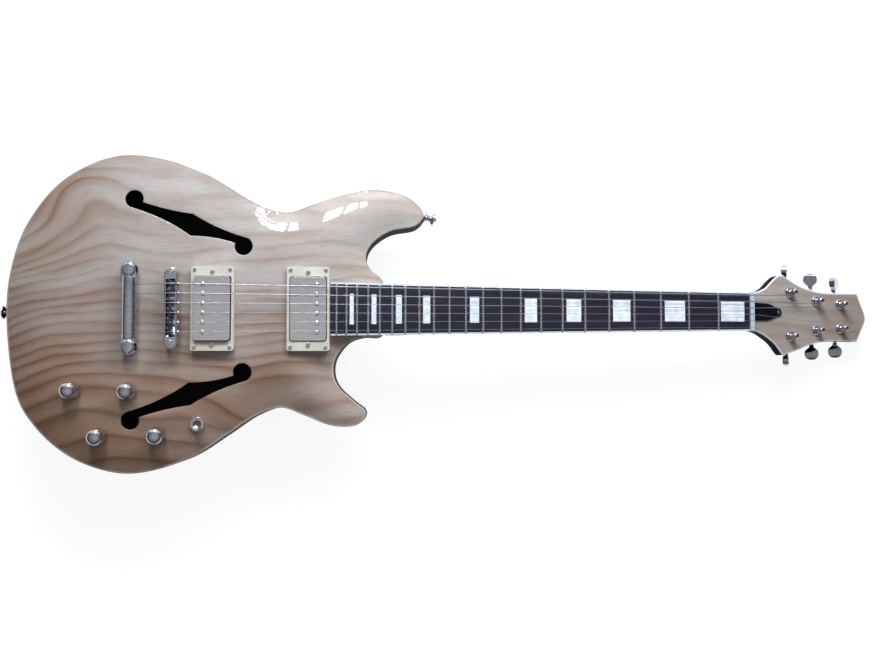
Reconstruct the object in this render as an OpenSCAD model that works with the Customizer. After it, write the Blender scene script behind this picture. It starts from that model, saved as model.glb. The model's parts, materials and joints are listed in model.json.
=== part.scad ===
// Semi-hollow double-cutaway electric guitar, lying on its back.
// +X runs along the strings to the headstock, +Y to the bass side, +Z out of the top.
// The origin is on the back face, under the theoretical bridge line of the scale.

/* [Scale and neck] */
// Vibrating string length from nut to bridge line
scale_length = 628; // [610:1:650]
// Number of frets on the board
fret_count = 22; // [20:1:22]
// Tilt of the fretboard against the body's back, in degrees
neck_angle = 3.5; // [2.5:0.1:4]
// Height of the fret tops, carried on to the bridge line, above the back
fret_plane_z = 68; // [67:0.5:70]
// Board width at the nut
nut_width = 42.4; // [40:0.2:45]
// Board width at its body end
board_end_width = 56.4; // [54:0.2:58]
// Board length past the last fret
board_tail = 6; // [5:0.5:9]
// Fretboard thickness
board_thickness = 6; // [5:0.25:7]
// Crosswise radius of the playing surface
board_radius = 305; // [240:5:400]
// Width of the binding strip on each board edge
board_binding = 1.6; // [1:0.1:2]
// Fret height above the board
fret_height = 1.1; // [0.8:0.1:1.4]
// Fret width
fret_width = 2.4; // [1.8:0.1:2.9]
// Neck depth below the board at the nut
neck_depth_nut = 14; // [12:0.5:17]
// Neck depth below the board just before the heel
neck_depth_heel = 17; // [15:0.5:20]
// Nut thickness along the strings
nut_thickness = 4.5; // [3:0.5:6]
// Truss rod diameter
truss_rod_d = 6; // [4:0.5:7]

/* [Headstock] */
// Angle between headstock face and fretboard, in degrees
head_angle = 12; // [8:0.5:14]
// Headstock thickness with its face veneer
head_thickness = 14; // [12:0.5:17]
// Face veneer thickness
head_face = 1.6; // [1:0.2:3]
// Width of the binding strip round the headstock face
head_binding = 1.5; // [1:0.1:2]
// Tuner post diameter
post_d = 6; // [5.5:0.1:7]
// Tuner post height above the headstock face
post_height = 13; // [12:0.5:16]
// Distance from a post's axis to the middle of its key button
key_reach = 24.5; // [23:0.5:28]

/* [Body] */
// Height of the rim, from the back to the edge of the top
rim_height = 44; // [41:0.5:47]
// Thickness of the top plate at its edge
top_edge = 7; // [5:0.5:9]
// Rise of the carved top above its edge
arch_height = 9; // [7:0.5:10]
// Width of the carved slope that runs in from the edge
arch_run = 56; // [46:2:70]
// Width of the binding round the top
binding_width = 1.8; // [1.2:0.1:2.6]
// Wall left round the hollow chambers
chamber_wall = 15; // [12:0.5:20]
// Thickness of the back under the chambers
back_thickness = 6; // [4:0.5:9]
// Rounding of the back's edge
back_round = 7; // [3:0.5:10]
// Half width of the solid block down the middle
block_half = 52; // [48:1:56]

/* [Bridge and tailpiece] */
// Middle of the bridge frame, from the bridge line
bridge_x = 4; // [0:0.5:6]
// Distance between the two bridge posts
bridge_span = 73; // [72:0.2:75]
// Height of the strings over the back at the saddles
string_z = 71; // [70.5:0.25:73]
// Outer string spacing at the saddles
string_spread = 50.5; // [49:0.25:53]
// Outer string spacing at the nut
nut_spread = 35; // [33:0.25:36]
// Middle of the tailpiece, from the bridge line
tail_x = -40; // [-46:0.5:-38]
// Distance between the two tailpiece studs
tail_span = 81; // [80:0.25:84]

/* [Pickups] */
// Middle of the bridge pickup, from the bridge line
bridge_pickup_x = 46; // [44:0.5:50]
// Gap between the end of the board and the neck pickup's ring
neck_pickup_gap = 1.7; // [1.5:0.1:5.5]
// Pickup cover length across the strings
cover_l = 67.5; // [66:0.5:69]
// Pickup cover width along the strings
cover_w = 38; // [36:0.5:38.5]
// Mounting ring beyond the cover at either end
ring_end = 10.75; // [10.25:0.25:12.25]
// Mounting ring beyond the cover on either side
ring_side = 3.5; // [3:0.25:4.5]

/* [Controls] */
// Knob diameter at its base
knob_d = 19; // [16:0.5:22]
// Knob height
knob_h = 15; // [12:0.5:18]
// Diameter of the pot's turning shaft
shaft_d = 6; // [5.5:0.05:6.5]
// Tilt of the selector lever from upright at either end of its throw, in degrees
lever_tilt = 13; // [8:1:15]
// Bore of the output jack
jack_bore = 6.5; // [6.45:0.05:6.8]
// Strap button flange diameter
strap_d = 15; // [12:0.5:18]

/* [Hidden] */
$fn = 48;
fit = 0.05;
gap = 0.3;
// Height of a cut that is open above: more than the whole body
cut_h = rim_height + arch_height + top_edge;

// Body outline: one point each side of every turn, clockwise from the tail
body_points = [
  [-174, -10], [-170, 45], [-153, 94], [-118, 138], [-66, 164], [-15, 163], [37, 145],
  [75, 122], [101, 109], [125, 105.5], [152, 114.5], [185, 125], [216, 130], [249, 123],
  [268, 105], [259, 91], [232, 85], [213, 72], [206, 57], [212, 43], [224, 32], [227, 14],
  [227, -14], [221, -28], [203, -29], [187, -35], [174, -52], [172, -69], [178, -83], [193, -97],
  [206, -108], [203, -119], [190, -124.5], [168, -123], [141, -112.5], [116, -104.5], [88, -114],
  [58, -134], [19, -158.5], [-28, -172.5], [-66, -171], [-108, -154], [-143, -123], [-164, -84]
];
body_steps = 3;

// Headstock outline in its own plane, from the nut along the bass edge to the tip and back
head_points = [
  [0, 21], [9, 22.8], [18, 27.2], [27, 35.5], [35, 41], [43, 40], [61, 30.5], [80, 25.2], [100, 23],
  [139, 23.7], [144, 12], [150, -5], [143, -21], [137.5, -31.7], [118, -31.4], [97, -32], [79, -34.7],
  [61, -40.6], [42, -47], [37, -46], [28, -35.5], [17, -27.7], [8, -23], [0, -21]
];

tuner_s = [48, 82.5, 114.5];
tuner_bass_y = [22.5, 13.7, 10.6];
tuner_treble_y = [-26.5, -19.3, -16.8];
// Turn of each key button about its stem, as the player left it
key_turn = [48, -42, 36, -48, 42, 42];

knob_places = [[-101, -86], [-42, -87], [-73, -134.5], [-11.5, -133.5]];
toggle_place = [30, -121.5];
jack_angle = -112;

// Walk of a closed smooth curve through its points
function at(list, i) = list[(i + len(list)) % len(list)];
function curve_point(a, b, c, d, t) =
  0.5 * (2 * b + t * (c - a) + t * t * (2 * a - 5 * b + 4 * c - d) + t * t * t * (3 * b - a - 3 * c + d));
function closed_curve(pts, steps) = [
  for (i = [0 : len(pts) - 1]) for (k = [0 : steps - 1])
    curve_point(at(pts, i - 1), at(pts, i), at(pts, i + 1), at(pts, i + 2), k / steps)
];
// Quadratic curve between two points, drawn towards a third
function bend(a, pull, b, n) = [
  for (k = [0 : n]) let (t = k / n) (1 - t) * (1 - t) * a + 2 * t * (1 - t) * pull + t * t * b
];
// A clockwise outline moved inwards by a distance
function inset(poly, d) = [
  for (i = [0 : len(poly) - 1])
    let (t = at(poly, i + 1) - at(poly, i - 1)) poly[i] + d * [t[1], -t[0]] / norm(t)
];
function segment_distance(p, a, b) =
  let (t = max(0, min(1, ((p - a) * (b - a)) / ((b - a) * (b - a))))) norm(p - a - t * (b - a));
function edge_distance(p, poly) =
  min([for (i = [0 : len(poly) - 1]) segment_distance(p, poly[i], at(poly, i + 1))]);

outline = closed_curve(body_points, body_steps);
top_outline = inset(outline, binding_width);
seam_z = rim_height - top_edge;
// Height of the carved top over a place
function arch_share(e) = let (t = max(0, min(1, e / arch_run))) t * (2 - t);
function top_z(p) = rim_height + arch_height * arch_share(edge_distance(p, top_outline));
crown_z = rim_height + arch_height;

// Neck frame: X along the board, Z = 0 on the fret tops
module neck_frame() { translate([0, 0, fret_plane_z]) rotate([0, neck_angle, 0]) children(); }
function neck_point(d, y, h) =
  [d * cos(neck_angle) + h * sin(neck_angle), y, fret_plane_z - d * sin(neck_angle) + h * cos(neck_angle)];
board_top = -fret_height;
board_base = board_top - board_thickness;
function fret_place(n) = scale_length * pow(2, -n / 12);
board_end = fret_place(fret_count) - board_tail;
ring_l = cover_l + 2 * ring_end;
ring_w = cover_w + 2 * ring_side;
neck_pickup_x = board_end - neck_pickup_gap - ring_w / 2;
function board_half(d) =
  (nut_width + (board_end_width - nut_width) * (scale_length - d) / (scale_length - board_end)) / 2;
nut_back = scale_length + nut_thickness;

// Headstock frame: X from the nut to the tip, Z = 0 on the face
head_start = nut_back;
head_level = board_top - 3;
module head_frame() {
  neck_frame() translate([head_start, 0, head_level]) rotate([0, head_angle, 0]) children();
}
function head_point(s, y, h) = neck_point(
  head_start + s * cos(head_angle) + h * sin(head_angle), y,
  head_level - s * sin(head_angle) + h * cos(head_angle));
head_outline = concat(
  [head_points[0]],
  [for (i = [0 : len(head_points) - 2]) for (k = [1 : 3])
    let (a = head_points[max(i - 1, 0)], b = head_points[i], c = head_points[i + 1],
      d = head_points[min(i + 2, len(head_points) - 1)]) curve_point(a, b, c, d, k / 3)]);
tuners = [
  for (i = [0 : 2]) [tuner_s[i], tuner_bass_y[i], 1],
  for (i = [0 : 2]) [tuner_s[i], tuner_treble_y[i], -1]
];

// Solid between rings of the same number of points, closed at both ends
module loft(rings) {
  n = len(rings[0]);
  last = len(rings) - 1;
  sides = [for (k = [0 : last - 1]) for (i = [0 : n - 1]) let (j = (i + 1) % n) each [
    [k * n + i, k * n + j, (k + 1) * n + j], [k * n + i, (k + 1) * n + j, (k + 1) * n + i]]];
  polyhedron([for (r = rings) each r], concat(sides,
    [[for (i = [n - 1 : -1 : 0]) i]], [[for (i = [0 : n - 1]) last * n + i]]));
}
// Round tube of few sides along a path, its rings kept square to the path
function unit(v) = v / norm(v);
function tube_side(path, i) = let (t = unit(path[min(i + 1, len(path) - 1)] - path[max(i - 1, 0)])) t;
function tube_rings(path, r, sides, up) = [
  for (i = [0 : len(path) - 1])
    let (t = tube_side(path, i), u = unit(cross(t, up)), v = cross(u, t))
    [for (k = [0 : sides - 1]) path[i] + r * (cos(360 * k / sides) * u + sin(360 * k / sides) * v)]
];
module rounded_plate(l, w, t, r) {
  linear_extrude(t) union() {
    square([l - 2 * r, w], center = true);
    square([l, w - 2 * r], center = true);
    for (x = [-1, 1]) for (y = [-1, 1]) translate([x * (l / 2 - r), y * (w / 2 - r)]) circle(r);
  }
}

// Shapes shared by pieces that fit each other
lobe_tail = [-40, 117.6];
lobe_neck = [76.5, 67];
lobe_r = 9.6;
point_out = [22, 101.8];
point_in = [20.5, 78];
// One f-hole, on the bass side
module f_hole_shape() {
  translate(lobe_tail) circle(lobe_r);
  translate(lobe_neck) circle(lobe_r);
  polygon(concat(
    bend(lobe_tail + lobe_r * [0.93, -0.36], [-5, 105], point_out, 5),
    bend(point_out, [46, 86], lobe_neck + lobe_r * [0.25, 0.96], 5),
    bend(lobe_neck + lobe_r * [-0.93, 0.36], [46, 78], point_in, 5),
    bend(point_in, [-5, 97], lobe_tail + lobe_r * [-0.25, -0.96], 5)));
}
module f_holes(t) {
  linear_extrude(t) f_hole_shape();
  mirror([0, 1, 0]) linear_extrude(t) f_hole_shape();
}
chamber_bottom = back_thickness;
chamber_x0 = -140;
chamber_x1 = 112;
// Plan of the two hollow chambers beside the block
module chamber_shape() {
  reach = 4 * block_half;
  intersection() {
    polygon(inset(outline, chamber_wall));
    for (s = [-1, 1])
      translate([chamber_x0, s > 0 ? block_half : -block_half - reach])
        square([chamber_x1 - chamber_x0, reach]);
  }
}
ring_height_bridge = 8;
ring_height_neck = 4.4;
pickup_cavity_z = 24;
// The pickup's ears reach past its cover, and the cavity leaves room round both
ear_out = 8.25;
ear_l = cover_l + 2 * ear_out;
ear_w = 15;
cavity_room = 2;
module pickup_cavity() {
  translate([0, 0, pickup_cavity_z]) {
    rounded_plate(cover_w + 2 * cavity_room, cover_l + 2 * cavity_room, cut_h, cover_corner);
    rounded_plate(ear_w, ear_l, cut_h, cover_corner);
  }
}
ring_corner = 2.5;
// A ring's flat underside is let into the carve down to the lowest of its corners
function ring_seat(x) =
  min([for (u = [-1, 1]) for (v = [-1, 1]) top_z([x + u * ring_w / 2, v * ring_l / 2])]) - fit;
// Under its face a tall ring is a shell
ring_wall = 2.2;
function ring_roof(x) = max(ring_seat(x), crown_z - 1);
module ring_recess(x) {
  translate([x, 0, ring_seat(x)])
    rounded_plate(ring_w + 2 * fit, ring_l + 2 * fit, cut_h, ring_corner + fit);
}
tenon_half = 20;
tenon_end = board_end + 2;
tenon_depth = 38;
heel_face = 227.9;
heel_start = heel_face / cos(neck_angle);
// Room for the neck's tenon and for the end of the board
module neck_pocket() {
  neck_frame() {
    translate([tenon_end - fit, -tenon_half - fit, board_base - tenon_depth - fit])
      cube([heel_start - tenon_end + 20, 2 * (tenon_half + fit), tenon_depth + 20]);
    translate([0, 0, board_base - fit]) linear_extrude(cut_h) board_plan(fit);
  }
}
module board_plan(grow) {
  wide = board_half(board_end) + grow;
  narrow = board_half(scale_length) + grow;
  end = board_end - max(grow, 0);
  polygon([[end, -wide], [scale_length, -narrow], [scale_length, narrow], [end, wide]]);
}
bushing_r = 5.5;
bushing_depth = 18;
hardware_places = [
  [tail_x, tail_span / 2], [tail_x, -tail_span / 2],
  [bridge_x, bridge_span / 2], [bridge_x, -bridge_span / 2]];
pot_thread_r = 4.7;
pot_recess_r = 13.5;
toggle_hole_r = 6;
toggle_flange_r = 7.4;
plate_left = 6.5;
cover_points = [[-125, -65], [-20, -65], [24, -98], [24, -132], [-6, -146], [-78, -146], [-128, -96]];
cover_t = 2;
cover_screws = [for (k = [0, 1, 3, 5]) inset(cover_points, 2.4)[k]];
cover_screw_r = 0.9;
cover_screw_head = 1.6;
screw_head_t = 1;
jack_r = 12;
jack_place = [-85, -161.8];
jack_z = 20;
module jack_axis() {
  translate([jack_place[0], jack_place[1], jack_z]) rotate([0, 0, jack_angle]) rotate([0, 90, 0]) children();
}
jack_face = 3;
jack_thread_r = 4.7;
strap_z = 22;
tail_strap_place = [-174, -2];
horn_strap_place = [268.6, 103.7];
horn_strap_turn = -14;
module strap_axis(k) {
  if (k == 0) translate([tail_strap_place[0], tail_strap_place[1], strap_z]) rotate([0, -90, 0]) children();
  else translate([horn_strap_place[0], horn_strap_place[1], strap_z]) rotate([0, 0, horn_strap_turn])
    rotate([0, 90, 0]) children();
}
strap_screw_r = 1.8;

// Back, sides and block, cut from one blank and hollowed from above
module body_back() {
  // Cut all round, the blank stays one skin, at its drawn size
  color("#1b1a1c") resize([0, 0, 0]) difference() {
    loft([
      [for (p = inset(outline, back_round)) [p[0], p[1], 0]],
      [for (p = inset(outline, back_round * 0.29)) [p[0], p[1], back_round * 0.29]],
      [for (p = outline) [p[0], p[1], back_round]],
      [for (p = outline) [p[0], p[1], seam_z]]]);
    translate([0, 0, chamber_bottom]) linear_extrude(rim_height) chamber_shape();
    translate([bridge_pickup_x, 0, 0]) pickup_cavity();
    translate([neck_pickup_x, 0, 0]) pickup_cavity();
    neck_pocket();
    for (p = hardware_places) translate([p[0], p[1], crown_z - bushing_depth - fit])
      cylinder(r = bushing_r + fit, h = cut_h);
    linear_extrude(2 * back_thickness + 1, center = true) polygon(inset(cover_points, 4));
    translate([0, 0, -1]) linear_extrude(cover_t + 1) polygon(cover_points);
    jack_axis() translate([0, 0, -40]) cylinder(r = jack_r, h = 60);
    for (k = [0, 1]) strap_axis(k) translate([0, 0, -22]) cylinder(r = strap_screw_r, h = 30);
  }
}

// Hole for a control: a pocket from below, the thread's bore and a flat seat for its nut
module control_hole(p, thread_r, seat_r) {
  translate([p[0], p[1], seam_z - 1]) {
    cylinder(r = pot_recess_r, h = top_z(p) - plate_left - seam_z + 1 + fit);
    cylinder(r = thread_r + fit, h = cut_h);
  }
  translate([p[0], p[1], top_z(p) - fit]) cylinder(r = seat_r + gap, h = cut_h);
}

// Carved top plate with f-holes and routs
spine_x = 60;
spine_half = 62;
function spine_point(p) = [spine_x, max(-spine_half, min(spine_half, p[1]))];
module body_top() {
  // Rings run in from the edge towards a line across the middle, and take their height from the carve
  inner = inset(top_outline, 4);
  shares = [0, 0.1, 0.22, 0.38, 0.6];
  rings = [for (s = shares) [for (p = inner) let (q = p + s * (spine_point(p) - p)) [q[0], q[1], top_z(q)]]];
  crown = [for (p = inner) let (q = p + 0.86 * (spine_point(p) - p)) [q[0], q[1], crown_z]];
  // The cut plate stays one skin, like its carve, at its drawn size
  color("#cbb79c") resize([0, 0, 0]) difference() {
    loft(concat(
      [[for (p = top_outline) [p[0], p[1], seam_z]], [for (p = top_outline) [p[0], p[1], rim_height]]],
      rings, [crown]));
    ring_recess(bridge_pickup_x);
    ring_recess(neck_pickup_x);
    translate([0, 0, seam_z - 1]) f_holes(cut_h);
    translate([bridge_pickup_x, 0, 0]) pickup_cavity();
    translate([neck_pickup_x, 0, 0]) pickup_cavity();
    neck_pocket();
    for (p = hardware_places) translate([p[0], p[1], seam_z - 1]) cylinder(r = bushing_r + fit, h = cut_h);
    for (p = knob_places) control_hole(p, pot_thread_r, nut_r);
    control_hole(toggle_place, toggle_hole_r, toggle_flange_r);
  }
}
module body_binding() {
  color("#e9e3d2") difference() {
    translate([0, 0, seam_z]) linear_extrude(top_edge) difference() {
      polygon(outline);
      polygon(top_outline);
    }
    neck_pocket();
  }
}
module control_cover() {
  color("#151515") difference() {
    linear_extrude(cover_t) polygon(inset(cover_points, 0.2));
    for (p = cover_screws) translate([p[0], p[1], -1]) {
      cylinder(r = cover_screw_head + fit, h = 1 + screw_head_t + fit);
      cylinder(r = cover_screw_r + fit, h = cover_t + 2);
    }
  }
}

// Neck: tenon, heel, round back and headstock core in one piece of wood
neck_sides = 14;
function neck_section(d, half, depth, round_power) = [
  for (k = [0 : neck_sides])
    let (a = 180 * k / neck_sides, c = cos(a), s = sin(a))
    [d, half * sign(c) * pow(abs(c), round_power), board_base - depth * pow(s, round_power)]
];
heel_end = 262;
module neck() {
  ring = [
    [for (p = neck_section(heel_start, board_half(heel_start), tenon_depth - 4, 0.55))
      [p[0] - p[2] * tan(neck_angle), p[1], p[2]]],
    neck_section(heel_start + 8, board_half(heel_start), tenon_depth - 9, 0.6),
    neck_section(heel_start + 18, board_half(heel_start), neck_depth_heel + 6, 0.7),
    neck_section(heel_end, board_half(heel_end), neck_depth_heel, 0.8),
    neck_section((heel_end + scale_length) / 2, board_half((heel_end + scale_length) / 2),
      (neck_depth_heel + neck_depth_nut) / 2, 0.85),
    neck_section(scale_length - 25, board_half(scale_length - 25), neck_depth_nut, 0.85),
    neck_section(scale_length - 8, nut_width / 2, neck_depth_nut + 1.5, 0.8),
    neck_section(nut_back + 3, nut_width / 2, neck_depth_nut + 3, 0.75)];
  color("#1d1b1d") difference() {
    union() {
      neck_frame() {
        loft(ring);
        translate([tenon_end, -tenon_half, board_base - tenon_depth])
          cube([heel_start - tenon_end + 4, 2 * tenon_half, tenon_depth]);
      }
      head_frame() translate([0, 0, -head_thickness]) linear_extrude(head_thickness - head_face)
        polygon(head_outline_face);
    }
    neck_frame() translate([truss_start, 0, truss_h]) rotate([0, 90, 0])
      cylinder(r = truss_rod_d / 2 + fit, h = truss_end - truss_start + gap);
    head_frame() truss_pocket();
    head_frame() for (t = tuners) translate([t[0], t[1], -head_thickness - 1])
      cylinder(r = tuner_bush_r + fit, h = head_thickness + 2);
  }
}
truss_start = board_end + 40;
truss_h = board_base - truss_rod_d / 2 - 1.5;
truss_end = nut_back + 16;
pocket_s0 = 4;
pocket_l = 24;
pocket_w = 10;
module truss_pocket() {
  translate([pocket_s0, -pocket_w / 2, -12]) cube([pocket_l, pocket_w, 20]);
}
tuner_bush_r = 4.6;
module headstock_face() {
  color("#cdbb9f") head_frame() difference() {
    translate([0, 0, -head_face]) linear_extrude(head_face) polygon(inset(head_outline_face, head_binding));
    truss_pocket();
    for (t = tuners) translate([t[0], t[1], -head_face - 1])
      cylinder(r = tuner_bush_r + fit, h = head_face + 2);
  }
}
// The face stops just behind the nut
face_gap = 0.8;
head_outline_face = [for (p = head_outline) [max(p[0], face_gap), p[1]]];
module headstock_binding() {
  color("#e9e3d2") head_frame() translate([0, 0, -head_face]) linear_extrude(head_face) difference() {
    polygon(head_outline_face);
    polygon(inset(head_outline_face, head_binding));
  }
}
module board_crown() {
  translate([0, 0, board_top - board_radius]) rotate([0, 90, 0])
    cylinder(r = board_radius, h = scale_length, $fn = 720);
}
// Block inlays in these fret spaces, longer across the board towards the body
inlay_frets = [1, 3, 5, 7, 9, 12, 15, 17, 19, 21];
inlay_depth = 2.6;
function inlay_span(n) = fret_place(n - 1) - fret_place(n);
inlay_margin = 8.8;
inlay_margin_step = 0.22;
inlay_first_shift = 1.5;
inlay_grow_low = 0.35;
inlay_grow_high = 0.55;
inlay_grow_back = 0.8;
function inlay_mid(n) = (fret_place(n - 1) + fret_place(n)) / 2 - (n == 1 ? inlay_first_shift : 0);
function inlay_l(n) = inlay_span(n) - (n < 12 ? inlay_margin : inlay_margin - (n - 12) * inlay_margin_step);
function inlay_h(n) = 0.52 * nut_width + (n < 6 ? n * inlay_grow_low : n * inlay_grow_high - inlay_grow_back);
module inlay_blocks() {
  for (n = [for (f = inlay_frets) if (f <= fret_count) f])
    translate([inlay_mid(n) - inlay_l(n) / 2, -inlay_h(n) / 2, board_top - inlay_depth])
      cube([inlay_l(n), inlay_h(n), 2 * inlay_depth]);
}
module board_solid() {
  intersection() {
    translate([0, 0, board_base]) linear_extrude(board_thickness + 1) children();
    board_crown();
  }
}
module fretboard() {
  color("#3a2620") neck_frame() difference() {
    board_solid() board_plan(-board_binding);
    inlay_blocks();
  }
}
module fretboard_binding() {
  color("#e9e3d2") neck_frame() board_solid() difference() {
    board_plan(0);
    board_plan(-board_binding);
  }
}
module inlays() {
  color("#e8e6e2") neck_frame() intersection() {
    inlay_blocks();
    board_crown();
  }
}
module frets() {
  half = fret_width / 2;
  color("#c9c9cc") neck_frame() for (n = [1 : fret_count]) intersection() {
    translate([fret_place(n) - half, 0, board_top - board_radius]) rotate([0, 90, 0])
      rotate_extrude($fn = 96) translate([board_radius, 0])
        polygon([[0, 0], [0.7 * fret_height, 0.2 * fret_width], [fret_height, half],
          [0.7 * fret_height, 0.8 * fret_width], [0, fret_width]]);
    translate([fret_place(n) - fret_width, -board_half(fret_place(n)), board_base])
      cube([2 * fret_width, 2 * board_half(fret_place(n)), cut_h]);
  }
}
string_d = [1.17, 0.91, 0.66, 0.43, 0.33, 0.25];
function nut_y(i) = nut_spread * (0.5 - i / 5);
function saddle_y(i) = string_spread * (0.5 - i / 5);
nut_slot_h = 0.8;
nut_lip = 1.4;
module nut() {
  color("#eee9dc") neck_frame() difference() {
    translate([scale_length, -nut_width / 2, board_base])
      cube([nut_thickness, nut_width, nut_slot_h + nut_lip - board_base]);
    for (i = [0 : 5]) let (r = string_d[i] / 2) translate([scale_length - 1, nut_y(i), nut_slot_h + r])
      rotate([0, 90, 0]) {
        cylinder(r = r + fit, h = nut_thickness + 2);
        translate([-5, -r - fit, 0]) cube([5, 2 * (r + fit), nut_thickness + 2]);
      }
  }
}
module truss_rod() {
  color("#8d8d90") neck_frame() translate([truss_start, 0, truss_h]) rotate([0, 90, 0]) {
    cylinder(r = truss_rod_d / 2, h = truss_end - truss_start);
  }
}
cover_plate_t = 1.6;
truss_screw_s = 32.5;
module truss_rod_cover() {
  color("#101012") head_frame() difference() {
    linear_extrude(cover_plate_t) polygon(concat(
      [[face_gap, 10]], bend([18, 9.2], [25, 8], [30, 4.5], 4), bend([35, 3.5], [38.5, 0], [35, -3.5], 4),
      bend([30, -4.5], [25, -8], [18, -9.2], 4), [[face_gap, -10]]));
    translate([truss_screw_s, 0, -1]) cylinder(r = small_screw_r + fit, h = 5);
  }
}
small_screw_r = 1.2;

// Bridge: frame on two posts, six saddles with their screws
frame_w = 14;
frame_l = bridge_span + 12;
frame_top = string_z - 3;
frame_h = 7;
bridge_post_r = 3;
saddle_slot_w = 9;
saddle_slot_l = 60;
saddle_w = 7;
saddle_t = 5;
module slot_plan(l, w) {
  square([w, l - w], center = true);
  for (s = [-1, 1]) translate([0, s * (l - w) / 2]) circle(w / 2);
}
module bridge_frame() {
  color("#c8cace") translate([bridge_x, 0, frame_top - frame_h]) difference() {
    linear_extrude(frame_h) slot_plan(frame_l, frame_w);
    translate([0, 0, 2]) linear_extrude(frame_h) square([saddle_slot_w, saddle_slot_l], center = true);
    for (s = [-1, 1]) translate([0, s * bridge_span / 2, -1])
      cylinder(r = bridge_post_r + fit, h = frame_h + 2);
    for (i = [0 : 5]) translate([0, saddle_y(i), frame_h - 2.5]) rotate([0, 90, 0])
      cylinder(r = saddle_screw_r + fit, h = frame_w);
  }
}
saddle_screw_r = 1.1;
module saddles() {
  floor_z = frame_top - frame_h + 2;
  color("#d6d7da") for (i = [0 : 5]) translate([bridge_x, saddle_y(i), floor_z]) difference() {
    rotate([90, 0, 0]) linear_extrude(saddle_w, center = true) polygon([
      [-saddle_t / 2, 0], [saddle_t / 2, 0], [saddle_t / 2, frame_h - 1.5],
      [0.8, string_z - frame_top + frame_h - 2], [-0.8, string_z - frame_top + frame_h - 2],
      [-saddle_t / 2, frame_h - 1.5]]);
    translate([-10, 0, frame_h - 4.5]) rotate([0, 90, 0]) cylinder(r = saddle_screw_r + fit, h = 20);
  }
}
module saddle_screws() {
  head_r = 2;
  color("#b9babd") for (i = [0 : 5]) translate([bridge_x, saddle_y(i), frame_top - 2.5]) rotate([0, 90, 0]) {
    translate([0, 0, -saddle_t / 2 - 1]) cylinder(r = saddle_screw_r, h = frame_w / 2 + saddle_t / 2 + 1.01);
    translate([0, 0, frame_w / 2]) cylinder(r = head_r, h = 1.6);
  }
}
wheel_r = 6.5;
wheel_t = 2;
module bridge_posts() {
  color("#c8cace") for (s = [-1, 1]) translate([bridge_x, s * bridge_span / 2, 0]) {
    translate([0, 0, crown_z - 12]) cylinder(r = bridge_post_r, h = frame_top + 0.6 - crown_z + 12);
    translate([0, 0, frame_top - frame_h - wheel_t]) cylinder(r = wheel_r, h = wheel_t);
  }
}
// Tailpiece: round bar with an open fork at each end
bar_w = 15;
bar_h = 12;
bar_z = crown_z + 9;
stud_flange_r = 7.4;
bar_l = tail_span - 2 * (stud_flange_r + gap);
fork_r = 8.5;
fork_t = 8;
fork_root = 12;
stud_r = 3.5;
tail_hole_r = 1.6;
ball_hole_r = 2.6;
stud_length = 14;
fork_low = bar_z - fork_t / 2 - 0.1;
fork_high = bar_z + fork_t / 2 + 0.1;
module bar_profile() {
  polygon([for (k = [0 : 23]) let (a = 15 * k)
    [bar_w / 2 * sign(cos(a)) * pow(abs(cos(a)), 0.8), bar_h / 2 * sign(sin(a)) * pow(abs(sin(a)), 0.8)]]);
}
module tailpiece() {
  color("#c8cace") translate([tail_x, 0, bar_z]) difference() {
    union() {
      rotate([90, 0, 0]) linear_extrude(bar_l, center = true) bar_profile();
      for (s = [-1, 1]) translate([0, s * tail_span / 2, -fork_t / 2]) {
        cylinder(r = fork_r, h = fork_t);
        translate([-fork_r, s > 0 ? -fork_root : 0, 0]) cube([2 * fork_r - 2, fork_root, fork_t]);
      }
    }
    for (s = [-1, 1]) translate([0, s * tail_span / 2, -fork_t]) {
      cylinder(r = stud_r + gap, h = 2 * fork_t);
      translate([0, -stud_r - gap, 0]) cube([2 * fork_r, 2 * (stud_r + gap), 2 * fork_t]);
    }
    for (i = [0 : 5]) translate([-bar_w, saddle_y(i), 0]) rotate([0, 90, 0]) {
      cylinder(r = tail_hole_r, h = 2 * bar_w);
      cylinder(r = ball_hole_r, h = bar_w / 2 + 6);
    }
  }
}
module tailpiece_studs() {
  color("#c8cace") for (s = [-1, 1]) translate([tail_x, s * tail_span / 2, 0]) difference() {
    rotate_extrude() polygon([
      [0, crown_z - stud_length], [stud_r, crown_z - stud_length], [stud_r, fork_low - 2.3],
      [stud_flange_r, fork_low - 2.3], [stud_flange_r, fork_low], [stud_r, fork_low], [stud_r, fork_high],
      [stud_flange_r, fork_high], [stud_flange_r, fork_high + 1.3], [stud_flange_r - 2, fork_high + 2.5],
      [0, fork_high + 2.9]]);
    translate([0, 0, fork_high + 2.9]) cube([1.6, 2 * stud_flange_r + 2, 3], center = true);
  }
}
module stud_bushings() {
  color("#b4b5b8") for (k = [0 : 3])
    translate([hardware_places[k][0], hardware_places[k][1], crown_z - bushing_depth]) difference() {
      cylinder(r = bushing_r, h = bushing_depth);
      translate([0, 0, 1]) cylinder(r = (k < 2 ? stud_r : bridge_post_r) + fit, h = bushing_depth);
    }
}

// Pickups: ring screwed to the top, pickup hung in it on two screws with springs
bridge_cover_z = 64.6;
neck_cover_z = 58.7;
cover_h = 15;
cover_wall = 0.8;
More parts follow.
